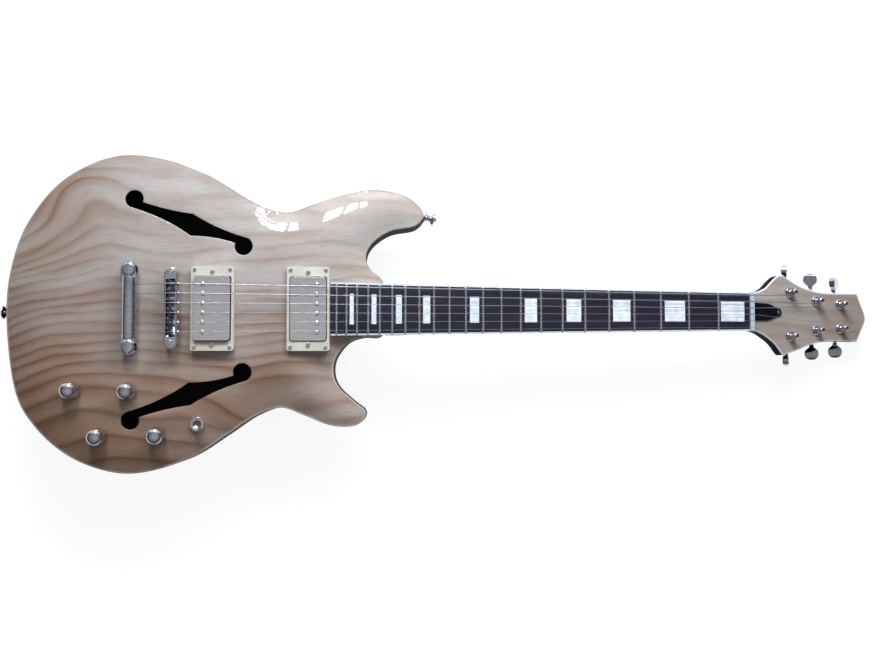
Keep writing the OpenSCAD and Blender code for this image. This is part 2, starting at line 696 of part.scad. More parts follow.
// Two bobbins side by side fill the cover
bobbin_split = 2.6;
bobbin_room = 0.9;
bobbin_end = 1.5;
bobbin_h = cover_h - cover_wall - 0.5;
bobbin_w = cover_w / 2 - cover_wall - bobbin_room - bobbin_split / 2;
pole_r = 2.4;
pole_x = (bobbin_split + bobbin_w) / 2;
pole_core_r = 1.6;
pole_sunk = 1.3;
pole_proud = 0.9;
cover_corner = 3;
ring_screw_in = [3.9, 3.6];
ring_screw_x = ring_w / 2 - ring_screw_in[0];
ring_screw_y = ring_l / 2 - ring_screw_in[1];
height_screw_out = 4.55;
height_screw_y = cover_l / 2 + height_screw_out;
height_screw_r = 1.5;
ear_t = 1.6;
ring_open = gap + 0.5;
module pickup_ring(x, height) {
  tall = crown_z + height - ring_seat(x);
  hollow = ring_roof(x) - ring_seat(x);
  color("#efe3bf") translate([x, 0, ring_seat(x)]) difference() {
    rounded_plate(ring_w, ring_l, tall, ring_corner);
    translate([0, 0, -1])
      rounded_plate(cover_w + 2 * ring_open, cover_l + 2 * ring_open, tall + 2, cover_corner);
    translate([0, 0, -1])
      rounded_plate(ring_w - 2 * ring_wall, ring_l - 2 * ring_wall, hollow + 1, ring_corner);
    for (s = [-1, 1]) {
      translate([0, s * height_screw_y, -1]) cylinder(r = height_screw_r + fit, h = tall + 2);
      for (k = [-1, 1]) translate([k * ring_screw_x, s * ring_screw_y, -1])
        cylinder(r = small_screw_r + fit, h = tall + 2);
    }
  }
}
module pickup_cover(top, side) {
  color("#cfccc4") translate([0, 0, top - cover_h]) difference() {
    rounded_plate(cover_w, cover_l, cover_h, cover_corner);
    translate([0, 0, -cover_wall])
      rounded_plate(cover_w - 2 * cover_wall, cover_l - 2 * cover_wall, cover_h, cover_corner - cover_wall);
    for (i = [0 : 5]) translate([side * pole_x, saddle_y(i), 1]) cylinder(r = pole_r + fit, h = cover_h);
  }
}
module pickup_coils(top, side) {
  base = top - cover_h - ear_t;
  color("#6f5b35") difference() {
    union() {
      translate([0, 0, base]) {
        rounded_plate(cover_w, cover_l, ear_t, cover_corner);
        rounded_plate(ear_w - 3, ear_l - 2, ear_t, 2);
      }
      for (x = [-1, 1]) translate([x * pole_x, 0, base + ear_t])
        rounded_plate(bobbin_w, cover_l - 2 * bobbin_end, bobbin_h, bobbin_w / 2 - 1);
    }
    for (s = [-1, 1]) translate([0, s * height_screw_y, base - 1]) cylinder(r = height_screw_r + fit, h = 5);
    for (i = [0 : 5]) translate([side * pole_x, saddle_y(i), base - 1])
      cylinder(r = pole_core_r + fit, h = cut_h);
    for (i = [0 : 5]) translate([side * pole_x, saddle_y(i), top - pole_sunk - 0.1])
      cylinder(r = pole_r + fit, h = cut_h);
  }
}
module pickup_poles(top, side) {
  color("#bdbcb8") for (i = [0 : 5]) translate([side * pole_x, saddle_y(i), top]) difference() {
    union() {
      translate([0, 0, -cover_h - ear_t - 3]) cylinder(r = pole_core_r, h = cover_h + 3);
      rotate_extrude() polygon([
        [0, -pole_sunk], [pole_r, -pole_sunk], [pole_r, 0.4 * pole_proud], [0.75 * pole_r, 0.8 * pole_proud],
        [0, pole_proud]]);
    }
    translate([0, 0, pole_proud]) cube([2 * pole_r + 1, 0.8, pole_proud], center = true);
  }
}
module pickup_springs(x, top) {
  low = top - cover_h;
  color("#9c9ca0") for (s = [-1, 1]) translate([x, s * height_screw_y, low]) difference() {
    cylinder(r = 2.6, h = ring_roof(x) - low);
    translate([0, 0, -1]) cylinder(r = 2, h = cut_h);
  }
}
height_screw_end = 12;
module height_screw_pair(x, ring_height, top) {
  seat = crown_z + ring_height;
  low = top - cover_h - height_screw_end;
  for (s = [-1, 1]) translate([x, s * height_screw_y, 0]) {
    translate([0, 0, low]) cylinder(r = height_screw_r, h = seat - low + 0.01);
    translate([0, 0, seat]) cylinder(r1 = 2.6, r2 = 2, h = 1.2);
  }
}
module height_screws() {
  color("#bdbcb8") {
    height_screw_pair(bridge_pickup_x, ring_height_bridge, bridge_cover_z);
    height_screw_pair(neck_pickup_x, ring_height_neck, neck_cover_z);
  }
}
module bridge_pickup_ring() { pickup_ring(bridge_pickup_x, ring_height_bridge); }
module bridge_pickup_cover() { translate([bridge_pickup_x, 0, 0]) pickup_cover(bridge_cover_z, -1); }
module bridge_pickup_coils() { translate([bridge_pickup_x, 0, 0]) pickup_coils(bridge_cover_z, -1); }
module bridge_pickup_poles() { translate([bridge_pickup_x, 0, 0]) pickup_poles(bridge_cover_z, -1); }
module bridge_pickup_springs() { pickup_springs(bridge_pickup_x, bridge_cover_z); }
module neck_pickup_ring() { pickup_ring(neck_pickup_x, ring_height_neck); }
module neck_pickup_cover() { translate([neck_pickup_x, 0, 0]) pickup_cover(neck_cover_z, 1); }
module neck_pickup_coils() { translate([neck_pickup_x, 0, 0]) pickup_coils(neck_cover_z, 1); }
module neck_pickup_poles() { translate([neck_pickup_x, 0, 0]) pickup_poles(neck_cover_z, 1); }
module neck_pickup_springs() { pickup_springs(neck_pickup_x, neck_cover_z); }

// Controls: knob and shaft turn in a pot that is nutted to the top
knob_lift = 2.6;
pot_body_r = 12;
pot_body_h = 11;
nut_t = 2.2;
function pot_seat(p) = top_z(p) - plate_left;
function knob_base(p) = top_z(p) + knob_lift;
knob_dome = 0.8;
module knob(k) {
  p = knob_places[k];
  r = knob_d / 2;
  color("#cdced2") translate([p[0], p[1], 0]) {
    translate([0, 0, knob_base(p)]) difference() {
      rotate_extrude() polygon([
        [0, 0], [r, 0], [r, 1.5], [r - 1, knob_h - 3.4], [r - 1.8, knob_h - 1.6], [r - 3.4, knob_h - 0.4],
        [r - 6, knob_h + 0.4], [0, knob_h + knob_dome]]);
      translate([0, 0, -1]) cylinder(r = shaft_d / 2 + fit, h = knob_h - 2);
      translate([0, 0, -1]) cylinder(r = nut_r + 0.6, h = 1 + nut_t);
    }
    translate([0, 0, pot_seat(p) - 3]) cylinder(r = shaft_d / 2, h = knob_base(p) + knob_h - pot_seat(p));
  }
}
nut_r = 6.4;
module neck_volume_knob() { knob(1); }
module bridge_volume_knob() { knob(0); }
module neck_tone_knob() { knob(3); }
module bridge_tone_knob() { knob(2); }
module pots() {
  color("#a9a9a4") for (p = knob_places) translate([p[0], p[1], 0]) {
    difference() {
      union() {
        translate([0, 0, pot_seat(p) - pot_body_h]) cylinder(r = pot_body_r, h = pot_body_h);
        translate([0, 0, pot_seat(p)]) cylinder(r = pot_thread_r, h = plate_left + nut_t);
      }
      translate([0, 0, pot_seat(p) - 3.5]) cylinder(r = shaft_d / 2 + fit, h = 40);
    }
    translate([0, 0, top_z(p)]) difference() {
      cylinder(r = nut_r, h = nut_t);
      translate([0, 0, -1]) cylinder(r = pot_thread_r + fit, h = 10);
    }
  }
}
toggle_z = top_z(toggle_place);
lever_pivot = toggle_z - 6;
lever_l = 19;
lever_ball_r = 2.8;
module lever_axis() {
  translate([toggle_place[0], toggle_place[1], lever_pivot]) rotate([lever_tilt, 0, 0]) children();
}
module toggle_switch() {
  color("#c3c4c8") translate([toggle_place[0], toggle_place[1], 0]) difference() {
    union() {
      translate([0, 0, toggle_z]) cylinder(r = toggle_flange_r, h = 3);
      translate([0, 0, toggle_z - plate_left]) cylinder(r = toggle_hole_r, h = plate_left + 0.1);
      translate([-8, -8, toggle_z - plate_left - 14]) cube([16, 16, 14]);
    }
    translate([0, 0, lever_pivot - 3.2]) cylinder(r1 = 3.4, r2 = 4.9, h = 20);
  }
}
module toggle_lever() {
  color("#d0d1d4") lever_axis() {
    sphere(r = lever_ball_r);
    rotate([0, 90, 0]) cylinder(r = 1, h = 2 * lever_ball_r + 0.4, center = true);
    cylinder(r = 1.4, h = lever_l - 6);
  }
}
module toggle_tip() {
  color("#f1efe6") lever_axis() translate([0, 0, lever_l - 6]) rotate_extrude() polygon([
    [0, 0], [2, 0], [2.9, 3], [3.1, 5.2], [2.4, 7.2], [1.2, 8.1], [0, 8.3]]);
}
module output_jack() {
  color("#c3c4c8") jack_axis() difference() {
    union() {
      translate([0, 0, -24]) cylinder(r = 8, h = 24);
      cylinder(r = jack_thread_r, h = jack_face + 2.4);
    }
    translate([0, 0, -22]) cylinder(r = jack_bore / 2, h = 40);
  }
}
module jack_plate() {
  color("#c8cace") jack_axis() difference() {
    cylinder(r = jack_r - 0.1, h = jack_face);
    translate([0, 0, -1]) cylinder(r = jack_thread_r + fit, h = 10);
  }
}
module strap_buttons() {
  r = strap_d / 2;
  color("#c8cace") for (k = [0, 1]) strap_axis(k) difference() {
    rotate_extrude() polygon([
      [0, strap_seat], [r - 1, strap_seat], [r - 1, strap_seat + 1.2], [3.6, strap_seat + 3.5],
      [3.4, strap_seat + 7], [r, strap_top - 2.5], [r, strap_top - 1], [0, strap_top]]);
    cylinder(r = strap_screw_r + fit, h = 30);
  }
}
strap_seat = 0.4;
strap_top = strap_seat + 12.5;
strap_screw_l = 32;

// Tuners: post and gear in a closed housing, turned by a worm on the key's stem
worm_offset = 8;
worm_r = 2.2;
gear_r = 5.2;
gear_teeth = 15;
gear_h = 4;
housing_h = 9;
housing_w = 17;
housing_back = 8;
housing_front = 12.5;
housing_ear_t = 1.6;
housing_screw_s = housing_back + 2.4;
stem_r = 1.9;
stem_h = -head_thickness - housing_h / 2;
collar_h = 2.4;
collar_r = 5.7;
module tuner_axis(k) { head_frame() translate([tuners[k][0], tuners[k][1], 0]) children(); }
module key_axis(k) {
  tuner_axis(k) translate([worm_offset, 0, stem_h]) rotate([-90 * tuners[k][2], 0, 0]) children();
}
module tuner_housings() {
  color("#c3c4c8") for (k = [0 : 5]) {
    difference() {
      tuner_axis(k) union() {
        translate([(housing_front - housing_back) / 2, 0, -head_thickness - housing_h])
          rounded_plate(housing_front + housing_back, housing_w, housing_h, 3);
        translate([-housing_back, 0, -head_thickness - housing_ear_t]) cylinder(r = 4.9, h = housing_ear_t);
      }
      tuner_axis(k) {
        translate([0, 0, stem_h - gear_h / 2 - gap]) cylinder(r = gear_r + gap, h = gear_h + 2 * gap);
        translate([0, 0, -head_thickness - housing_h + 0.8]) cylinder(r = post_d / 2 + fit, h = 40);
        translate([-housing_screw_s, 0, -head_thickness - 3]) cylinder(r = small_screw_r + fit, h = 9);
      }
      key_axis(k) {
        translate([0, 0, -housing_w / 2 + 1.5]) cylinder(r = worm_r + gap, h = housing_w - 3);
        cylinder(r = stem_r + fit, h = 30);
      }
    }
  }
}
module tuner_bushings() {
  color("#cdced2") for (k = [0 : 5]) tuner_axis(k) difference() {
    union() {
      translate([0, 0, -head_thickness]) cylinder(r = tuner_bush_r, h = head_thickness + 0.01);
      rotate_extrude()
        polygon([[0, 0], [collar_r, 0], [collar_r, 1], [collar_r - 1, collar_h], [0, collar_h]]);
    }
    translate([0, 0, -head_thickness - 1]) cylinder(r = post_d / 2 + fit, h = head_thickness + 10);
  }
}
waist_r = post_d / 2 - 0.6;
waist_low = 4.2;
waist_high = post_height - 3.2;
post_low = -head_thickness - housing_h + 1.2;
module tuner_post(k) {
  r = post_d / 2;
  color("#cdced2") tuner_axis(k) difference() {
    union() {
      rotate_extrude() polygon([
        [0, post_low], [r, post_low], [r, waist_low - 0.6], [waist_r, waist_low], [waist_r, waist_high],
        [r, waist_high + 0.6], [r, post_height - 0.8], [r - 0.8, post_height], [0, post_height]]);
      translate([0, 0, stem_h - gear_h / 2]) cylinder(r = gear_r, h = gear_h);
    }
    for (n = [0 : gear_teeth - 1]) rotate([0, 0, 360 * n / gear_teeth])
      translate([gear_r, 0, -head_thickness - housing_h]) cylinder(r = 0.55, h = housing_h, $fn = 16);
  }
}
module tuner_post_1() { tuner_post(0); }
module tuner_post_2() { tuner_post(1); }
module tuner_post_3() { tuner_post(2); }
module tuner_post_4() { tuner_post(3); }
module tuner_post_5() { tuner_post(4); }
module tuner_post_6() { tuner_post(5); }

// Key: worm, stem and a flat button that widens to its end
button_l = 17;
button_w = 15;
button_t = 6.5;
module tuner_key(k) {
  base = key_reach - button_l / 2;
  color("#cdced2") key_axis(k) {
    translate([0, 0, -worm_offset * 0.7]) cylinder(r = worm_r, h = worm_offset * 1.4);
    translate([0, 0, -1]) cylinder(r = stem_r, h = base + 2);
    translate([0, 0, base]) rotate([0, 0, key_turn[k]]) intersection() {
      rotate([90, 0, 0]) linear_extrude(button_t, center = true) polygon(concat(
        [[-2.5, 2.4], [-2.3, 0], [2.3, 0], [2.5, 2.4]],
        bend([button_w * 0.37, 5], [button_w / 2, 6.3], [button_w / 2, 9.2], 3),
        bend([button_w / 2, 11.4], [button_w * 0.42, button_l], [0, button_l], 5),
        bend([0, button_l], [-button_w * 0.42, button_l], [-button_w / 2, 11.4], 5),
        bend([-button_w / 2, 9.2], [-button_w / 2, 6.3], [-button_w * 0.37, 5], 3)));
      rotate([0, 90, 0]) linear_extrude(button_w + 2, center = true) polygon([
        [0, -2.2], [0, 2.2], [-4, 2.4], [-9, button_t / 2], [-button_l + 2.5, button_t / 2], [-button_l, 1.8],
        [-button_l, -1.8], [-button_l + 2.5, -button_t / 2], [-9, -button_t / 2], [-4, -2.4]]);
    }
  }
}
module tuner_key_1() { tuner_key(0); }
module tuner_key_2() { tuner_key(1); }
module tuner_key_3() { tuner_key(2); }
module tuner_key_4() { tuner_key(3); }
module tuner_key_5() { tuner_key(4); }
module tuner_key_6() { tuner_key(5); }

// Strings: from the tailpiece over saddle and nut, then wound up the post
wind_turns = 2.25;
wind_pitch = 1.65;
wind_rings = 24;
wind_start = waist_low + 0.9;
string_sides = 6;
string_tuner = [0, 1, 2, 5, 4, 3];
head_normal = head_point(0, 0, 1) - head_point(0, 0, 0);
function wind_path(i) =
  let (t = tuners[string_tuner[i]], r = waist_r + string_d[i] / 2 + gap,
    post = [t[0], t[1]], from = [0, nut_y(i)], reach = norm(post - from),
    course = atan2(post[1] - from[1], post[0] - from[0]), touch = course + 180 + t[2] * acos(r / reach))
  [for (k = [0 : wind_turns * wind_rings]) let (a = touch + t[2] * 360 * k / wind_rings)
    [post[0] + r * cos(a), post[1] + r * sin(a), wind_start + wind_pitch * k / wind_rings]];
function string_path(i) = let (r = string_d[i] / 2) concat([
    [tail_x - 1, saddle_y(i), bar_z], [tail_x + bar_w / 2 + 1, saddle_y(i), bar_z],
    [bridge_x - 1.2, saddle_y(i), string_z + r + fit], [bridge_x + 1.2, saddle_y(i), string_z + r + fit],
    neck_point(scale_length, nut_y(i), nut_slot_h + r + fit / 2),
    neck_point(nut_back, nut_y(i), nut_slot_h + r + fit / 2)],
  [for (p = wind_path(i)) head_point(p[0], p[1], p[2])]);
function least_gap(path, d, apart) = min([
  for (i = [0 : len(path) - 1 - apart]) for (j = [i + apart : len(path) - 1]) norm(path[i] - path[j])]) - d;
module strings() {
  echo(least_gap_between_turns = min([for (i = [0 : 5]) least_gap(wind_path(i), string_d[i], 16)]));
  color("#c2bfb8") for (i = [0 : 5])
    loft(tube_rings(string_path(i), string_d[i] / 2, string_sides, head_normal));
}

// Small screws that hold rings, covers, strap buttons and tuner housings
module wood_screw(r, head_r, length) {
  translate([0, 0, -length]) cylinder(r = r, h = length + 0.01);
  cylinder(r1 = head_r, r2 = head_r - 0.5, h = screw_head_t);
}
module wood_screws() {
  color("#bdbcb8") {
    for (k = [[bridge_pickup_x, ring_height_bridge], [neck_pickup_x, ring_height_neck]])
      translate([k[0], 0, crown_z + k[1]]) for (x = [-1, 1]) for (y = [-1, 1])
        translate([x * ring_screw_x, y * ring_screw_y]) wood_screw(small_screw_r, 2.2, 16);
    head_frame() translate([truss_screw_s, 0, cover_plate_t]) wood_screw(small_screw_r, 2, 9);
    for (k = [0, 1]) strap_axis(k) translate([0, 0, strap_top]) wood_screw(strap_screw_r, 3.2, strap_screw_l);
    for (k = [0 : 5]) tuner_axis(k) translate([-housing_screw_s, 0, -head_thickness - housing_ear_t - fit])
      rotate([180, 0, 0]) wood_screw(small_screw_r, 2, 7);
    for (p = cover_screws) translate([p[0], p[1], screw_head_t])
      rotate([180, 0, 0]) wood_screw(cover_screw_r, cover_screw_head, back_thickness - 2);
  }
}

body_back();
body_top();
body_binding();
control_cover();
neck();
headstock_face();
headstock_binding();
fretboard();
fretboard_binding();
inlays();
frets();
nut();
truss_rod();
truss_rod_cover();
bridge_frame();
saddles();
saddle_screws();
bridge_posts();
tailpiece();
tailpiece_studs();
stud_bushings();
bridge_pickup_ring();
bridge_pickup_cover();
bridge_pickup_coils();
bridge_pickup_poles();
bridge_pickup_springs();
neck_pickup_ring();
neck_pickup_cover();
neck_pickup_coils();
neck_pickup_poles();
neck_pickup_springs();
height_screws();
neck_volume_knob();
bridge_volume_knob();
neck_tone_knob();
bridge_tone_knob();
pots();
toggle_switch();
toggle_lever();
toggle_tip();
output_jack();
jack_plate();
strap_buttons();
tuner_housings();
tuner_bushings();
tuner_post_1();
tuner_post_2();
tuner_post_3();
tuner_post_4();
tuner_post_5();
tuner_post_6();
tuner_key_1();
tuner_key_2();
tuner_key_3();
tuner_key_4();
tuner_key_5();
tuner_key_6();
strings();
wood_screws();
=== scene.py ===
# %% [markdown]
# A semi-hollow electric guitar, dressed in Blender
#
# The CAD part is the fixed frame: every node already sits where it belongs, in metres.
# Here each visible piece gets its finer shape and its real finish: lacquered ash, black
# lacquer, rosewood, pearl, chrome, nickel, cream plastic. The pieces never move the frame;
# they stand in for its nodes one by one.

# %% Load the frame
import json
import math

import bmesh
import bpy
import numpy as np
from mathutils import Matrix, Vector
from mathutils.geometry import delaunay_2d_cdt

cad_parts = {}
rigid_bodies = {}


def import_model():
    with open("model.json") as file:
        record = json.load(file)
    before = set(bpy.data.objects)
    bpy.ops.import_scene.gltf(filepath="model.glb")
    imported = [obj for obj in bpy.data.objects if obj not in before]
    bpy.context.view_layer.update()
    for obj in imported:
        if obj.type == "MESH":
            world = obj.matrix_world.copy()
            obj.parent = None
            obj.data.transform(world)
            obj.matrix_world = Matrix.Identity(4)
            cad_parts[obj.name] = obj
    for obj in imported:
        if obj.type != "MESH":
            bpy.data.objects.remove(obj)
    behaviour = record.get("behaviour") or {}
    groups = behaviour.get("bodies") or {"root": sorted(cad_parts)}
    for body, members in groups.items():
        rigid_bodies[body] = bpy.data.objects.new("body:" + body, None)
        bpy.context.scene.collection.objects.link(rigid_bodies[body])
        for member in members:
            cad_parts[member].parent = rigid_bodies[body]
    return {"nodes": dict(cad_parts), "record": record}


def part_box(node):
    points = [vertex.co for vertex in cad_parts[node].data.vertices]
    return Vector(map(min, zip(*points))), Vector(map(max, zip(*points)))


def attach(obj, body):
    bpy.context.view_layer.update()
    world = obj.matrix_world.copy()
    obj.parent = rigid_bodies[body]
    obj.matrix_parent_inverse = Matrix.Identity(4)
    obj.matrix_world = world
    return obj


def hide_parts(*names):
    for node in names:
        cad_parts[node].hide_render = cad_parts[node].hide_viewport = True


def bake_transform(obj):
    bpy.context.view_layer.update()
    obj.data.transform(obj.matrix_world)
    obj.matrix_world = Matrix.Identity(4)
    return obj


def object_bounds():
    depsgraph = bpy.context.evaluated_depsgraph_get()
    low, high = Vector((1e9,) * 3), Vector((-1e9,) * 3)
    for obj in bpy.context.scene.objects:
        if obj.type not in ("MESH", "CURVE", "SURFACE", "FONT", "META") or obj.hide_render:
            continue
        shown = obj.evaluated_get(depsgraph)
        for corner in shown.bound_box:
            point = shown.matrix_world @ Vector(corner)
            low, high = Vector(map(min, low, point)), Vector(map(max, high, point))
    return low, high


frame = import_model()
CAD_BOX = [list(corner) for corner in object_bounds()]
NODES = frame["nodes"]
BODY_OF = {n: b for b, members in frame["record"]["behaviour"]["bodies"].items() for n in members}
SLOT_OF = {s["node"]: s["material_slot"] for s in frame["record"]["subparts"]}
print("frame:", len(NODES), "nodes, box in metres", CAD_BOX)

# %% [markdown]
# The camera
#
# The photograph looks almost straight down on the top, from about 1.1 m. A camera could be set by
# eye, but the frets follow one equal-tempered scale, so its place and its three small tilts were
# solved from them. The picture is 875 pixels wide and one pixel is a thousandth of the focal
# distance.

# %% Camera
MM = 0.001
PHOTO_WIDTH, FOCAL_PIXELS, SENSOR_MM = 875, 1000, 36
CAMERA_MM = (250.3, -78.0, 1114.1)
TILT_DEGREES = (-3.13, 1.75, -0.06)


def put(name, data):
    """An object with this data, linked into the scene."""
    made = bpy.data.objects.new(name, data)
    bpy.context.scene.collection.objects.link(made)
    return made


camera = put("camera", bpy.data.cameras.new("camera"))
camera.data.sensor_width = SENSOR_MM
camera.data.lens = FOCAL_PIXELS * SENSOR_MM / PHOTO_WIDTH
tx, ty, tz = (math.radians(a) for a in TILT_DEGREES)
turn = Matrix.Rotation(tz, 3, "Z") @ Matrix.Rotation(ty, 3, "Y") @ Matrix.Rotation(tx, 3, "X")
camera.matrix_world = Matrix.Translation(Vector(CAMERA_MM) * MM) @ turn.transposed().to_4x4()
camera.data.clip_start, camera.data.clip_end = 0.05, 50
bpy.context.scene.camera = camera
bpy.context.scene.view_settings.view_transform = "Standard"
print("camera at", CAMERA_MM, "mm, lens", round(camera.data.lens, 2), "mm")

# %% [markdown]
# Tools for finishes
#
# Colours are written as the sRGB hex that an eye would pick and turned to linear light once.
# Pattern sizes are written in millimetres. One function adds a node with its settings and links,
# so each finish below reads like a recipe, and every pattern is worked out by nodes: a picture of
# wood or metal would repeat, and could not follow the carve.

# %% Colour, scale and nodes
def linear(hex_colour):
    """An sRGB hex value as linear RGBA."""
    parts = [int(hex_colour[i:i + 2], 16) / 255 for i in (1, 3, 5)]
    return [c / 12.92 if c <= 0.04045 else ((c + 0.055) / 1.055) ** 2.4 for c in parts] + [1.0]


def per_mm(size):
    """Texture scale, in object metres, that gives features of this many millimetres."""
    return 1 / (size * MM)


def add(tree, kind, settings=None, sockets=None):
    """One node, with its settings (a ramp's stops too) and values or links on its sockets."""
    made = tree.nodes.new(kind)
    for key, value in (settings or {}).items():
        if key == "stops":
            for _ in value[2:]:
                made.color_ramp.elements.new(0.5)
            for element, (place, colour) in zip(made.color_ramp.elements, value):
                element.position, element.color = place, colour
        else:
            setattr(made, key, value)
    for key, value in (sockets or {}).items():
        if isinstance(value, bpy.types.NodeSocket):
            tree.links.new(value, made.inputs[key])
        else:
            made.inputs[key].default_value = value
    return made


def finish(name, **values):
    """A new material and its shader, with the constant values set on the shader itself."""
    material = bpy.data.materials.new(name)
    material.use_nodes = True
    tree = material.node_tree
    shader = tree.nodes["Principled BSDF"]
    for key, value in values.items():
        shader.inputs[key.replace("_", " ")].default_value = value
    return material, tree, shader


FINISH = {}
print("mid grey in linear light:", round(linear("#808080")[0], 3))

# %% [markdown]
# Lacquered ash
#
# The top is flat-sawn ash under thick clear gloss. What the eye sees is growth rings: a pale
# early band that darkens slowly to a thin brown late line, then starts again. Short open pores
# run along the grain. The line of the grain is worked out per vertex as a number, "grain",
# that counts rings across the board, so that pores and rings both follow its bends; straight
# bands of a wave texture could not. The lacquer is the shader's coat: clear, IOR 1.5 and almost
# mirror smooth.

# %% Growth rings
# Sizes along and across the grain in mm: the rings' slow drift, their quick shake, where they fade
DRIFT, SHAKE, FADE = (150, 38), (26, 9), (90, 24)


def growth_rings(tree, flow, early, mid, late):
    """The rings' colour, and how far the wood has browned with its painted shade, at each place."""
    rings = add(tree, "ShaderNodeAttribute", {"attribute_name": "grain"}).outputs["Fac"]
    drift_place = add(tree, "ShaderNodeMapping", sockets={
        "Vector": flow, "Scale": (*map(per_mm, DRIFT), 1)}).outputs["Vector"]
    drift = add(tree, "ShaderNodeTexNoise", sockets={
        "Vector": drift_place, "Scale": 1.0, "Detail": 2.0}).outputs["Fac"]
    shake_place = add(tree, "ShaderNodeMapping", sockets={
        "Vector": flow, "Scale": (*map(per_mm, SHAKE), 1)}).outputs["Vector"]
    shake = add(tree, "ShaderNodeTexNoise", sockets={
        "Vector": shake_place, "Scale": 1.0, "Detail": 3.0}).outputs["Fac"]
    moved = add(tree, "ShaderNodeMath", {"operation": "MULTIPLY_ADD"}, {
        0: drift, 1: 1.8, 2: rings}).outputs["Value"]
    moved = add(tree, "ShaderNodeMath", {"operation": "MULTIPLY_ADD"}, {
        0: shake, 1: 0.2, 2: moved}).outputs["Value"]
    band = add(tree, "ShaderNodeMath", {"operation": "FRACT"}, {0: moved}).outputs["Value"]
    ring_colour = add(tree, "ShaderNodeValToRGB", {"stops": [
        (0.0, linear(early)), (0.3, linear(early)), (0.6, linear(mid)), (0.78, linear(late)),
        (0.9, linear(mid)), (1.0, linear(early))]}, {"Fac": band}).outputs["Color"]
    # Some rings are strong and some nearly vanish; they are strongest towards the heart, where shade is also
    # painted
    heart = add(tree, "ShaderNodeAttribute", {"attribute_name": "heart"}).outputs["Fac"]
    fade_place = add(tree, "ShaderNodeMapping", sockets={
        "Vector": flow, "Scale": (*map(per_mm, FADE), 1)}).outputs["Vector"]
    fade = add(tree, "ShaderNodeTexNoise", sockets={
        "Vector": fade_place, "Scale": 1.0, "Detail": 1.0}).outputs["Fac"]
    browning_and_shade = add(tree, "ShaderNodeMath", {"operation": "MULTIPLY_ADD"}, {
        0: fade, 1: 1.4, 2: heart}).outputs["Value"]
    strength = add(tree, "ShaderNodeMapRange", sockets={
        "Value": browning_and_shade, "From Min": 0.5, "From Max": 1.45, "To Min": 0.08, "To Max": 0.85}).outputs["Result"]
    ringed = add(tree, "ShaderNodeMix", {"data_type": "RGBA"}, {
        "Factor": strength, 6: linear(early), 7: ring_colour}).outputs[2]
    return ringed, browning_and_shade


print("rings drift over", DRIFT, "mm and shake over", SHAKE, "mm")

# %% Ash finish
# Pores are 14 mm long here and 0.9 mm wide, which is wider than real ones, so that they show
PORE = (14, 0.9)


def ash_finish(name, early, mid, late, heart_and_shade_stain):
    """Rings, pores and heart stain, which is also painted shade, under clear gloss."""
    material, tree, shader = finish(
        name, Roughness=0.42, Coat_Weight=1.0, Coat_Roughness=0.03, Coat_IOR=1.5)
    place = add(tree, "ShaderNodeTexCoord").outputs["Object"]
    along = add(tree, "ShaderNodeSeparateXYZ", sockets={"Vector": place}).outputs["X"]
    across = add(tree, "ShaderNodeAttribute", {"attribute_name": "across"}).outputs["Fac"]
    # Along the grain in metres, across it in metres: the frame in which pores are streaks
    flow = add(tree, "ShaderNodeCombineXYZ", sockets={"X": along, "Y": across}).outputs["Vector"]
    ringed, browning_and_shade = growth_rings(tree, flow, early, mid, late)
    pore_place = add(tree, "ShaderNodeMapping", sockets={
        "Vector": flow, "Scale": (*map(per_mm, PORE), 1)}).outputs["Vector"]
    pores = add(tree, "ShaderNodeTexNoise", sockets={
        "Vector": pore_place, "Scale": 1.0, "Detail": 2.0}).outputs["Fac"]
    pore_depth = add(tree, "ShaderNodeMapRange", sockets={
        "Value": pores, "From Min": 0.5, "From Max": 0.72, "To Min": 0.0, "To Max": 0.34}).outputs["Result"]
    pored = add(tree, "ShaderNodeMix", {"data_type": "RGBA"}, {
        "Factor": pore_depth, 6: ringed, 7: linear(late)}).outputs[2]
    # The board browns towards its heart side, in patches that follow the grain; on the tail and treble sides
    # this brown is also painted shade
    stain_and_shade = add(tree, "ShaderNodeMapRange", sockets={
        "Value": browning_and_shade, "From Min": 0.5, "From Max": 1.6, "To Max": 0.85}).outputs["Result"]
    stained_and_shaded = add(tree, "ShaderNodeMix", {"data_type": "RGBA", "blend_type": "MULTIPLY"}, {
        "Factor": stain_and_shade, 6: pored, 7: linear(heart_and_shade_stain)}).outputs[2]
    tree.links.new(stained_and_shaded, shader.inputs["Base Color"])
    rough = add(tree, "ShaderNodeMapRange", sockets={
        "Value": pores, "To Min": 0.36, "To Max": 0.5}).outputs["Result"]
    tree.links.new(rough, shader.inputs["Roughness"])
    bump = add(tree, "ShaderNodeBump", sockets={
        "Strength": 0.08, "Distance": 0.2 * MM, "Height": pores}).outputs["Normal"]
    tree.links.new(bump, shader.inputs["Normal"])
    return material


# The last colour of each is the heart's brown, which on the tail and treble sides is also painted shade
FINISH["ash"] = ash_finish("lacquered_ash", "#b9b0a9", "#a29287", "#83685b", "#d1a078")
FINISH["ash_veneer"] = ash_finish("lacquered_ash_veneer", "#b6aba0", "#ac9e92", "#9c897b", "#d2a684")
print("made", FINISH["ash"].name, FINISH["ash_veneer"].name)

# %% [markdown]
# Black lacquer, plastics, bone and pearl
#
# Back, sides and neck are sprayed gloss black, which shows only its reflections and the faint
# unevenness of a rubbed-out coat. Bindings, pickup rings and the switch tip are plastics whose
# colour drifts slowly; the body's binding has darkened under its lacquer almost to the colour of
# the wood. Mother-of-pearl changes from white to blue-white in clouds, and bone between two greys.
# Each could have its own nodes, but all are one recipe, clouds for the colour and grit for the
# roughness, so one loop makes them.

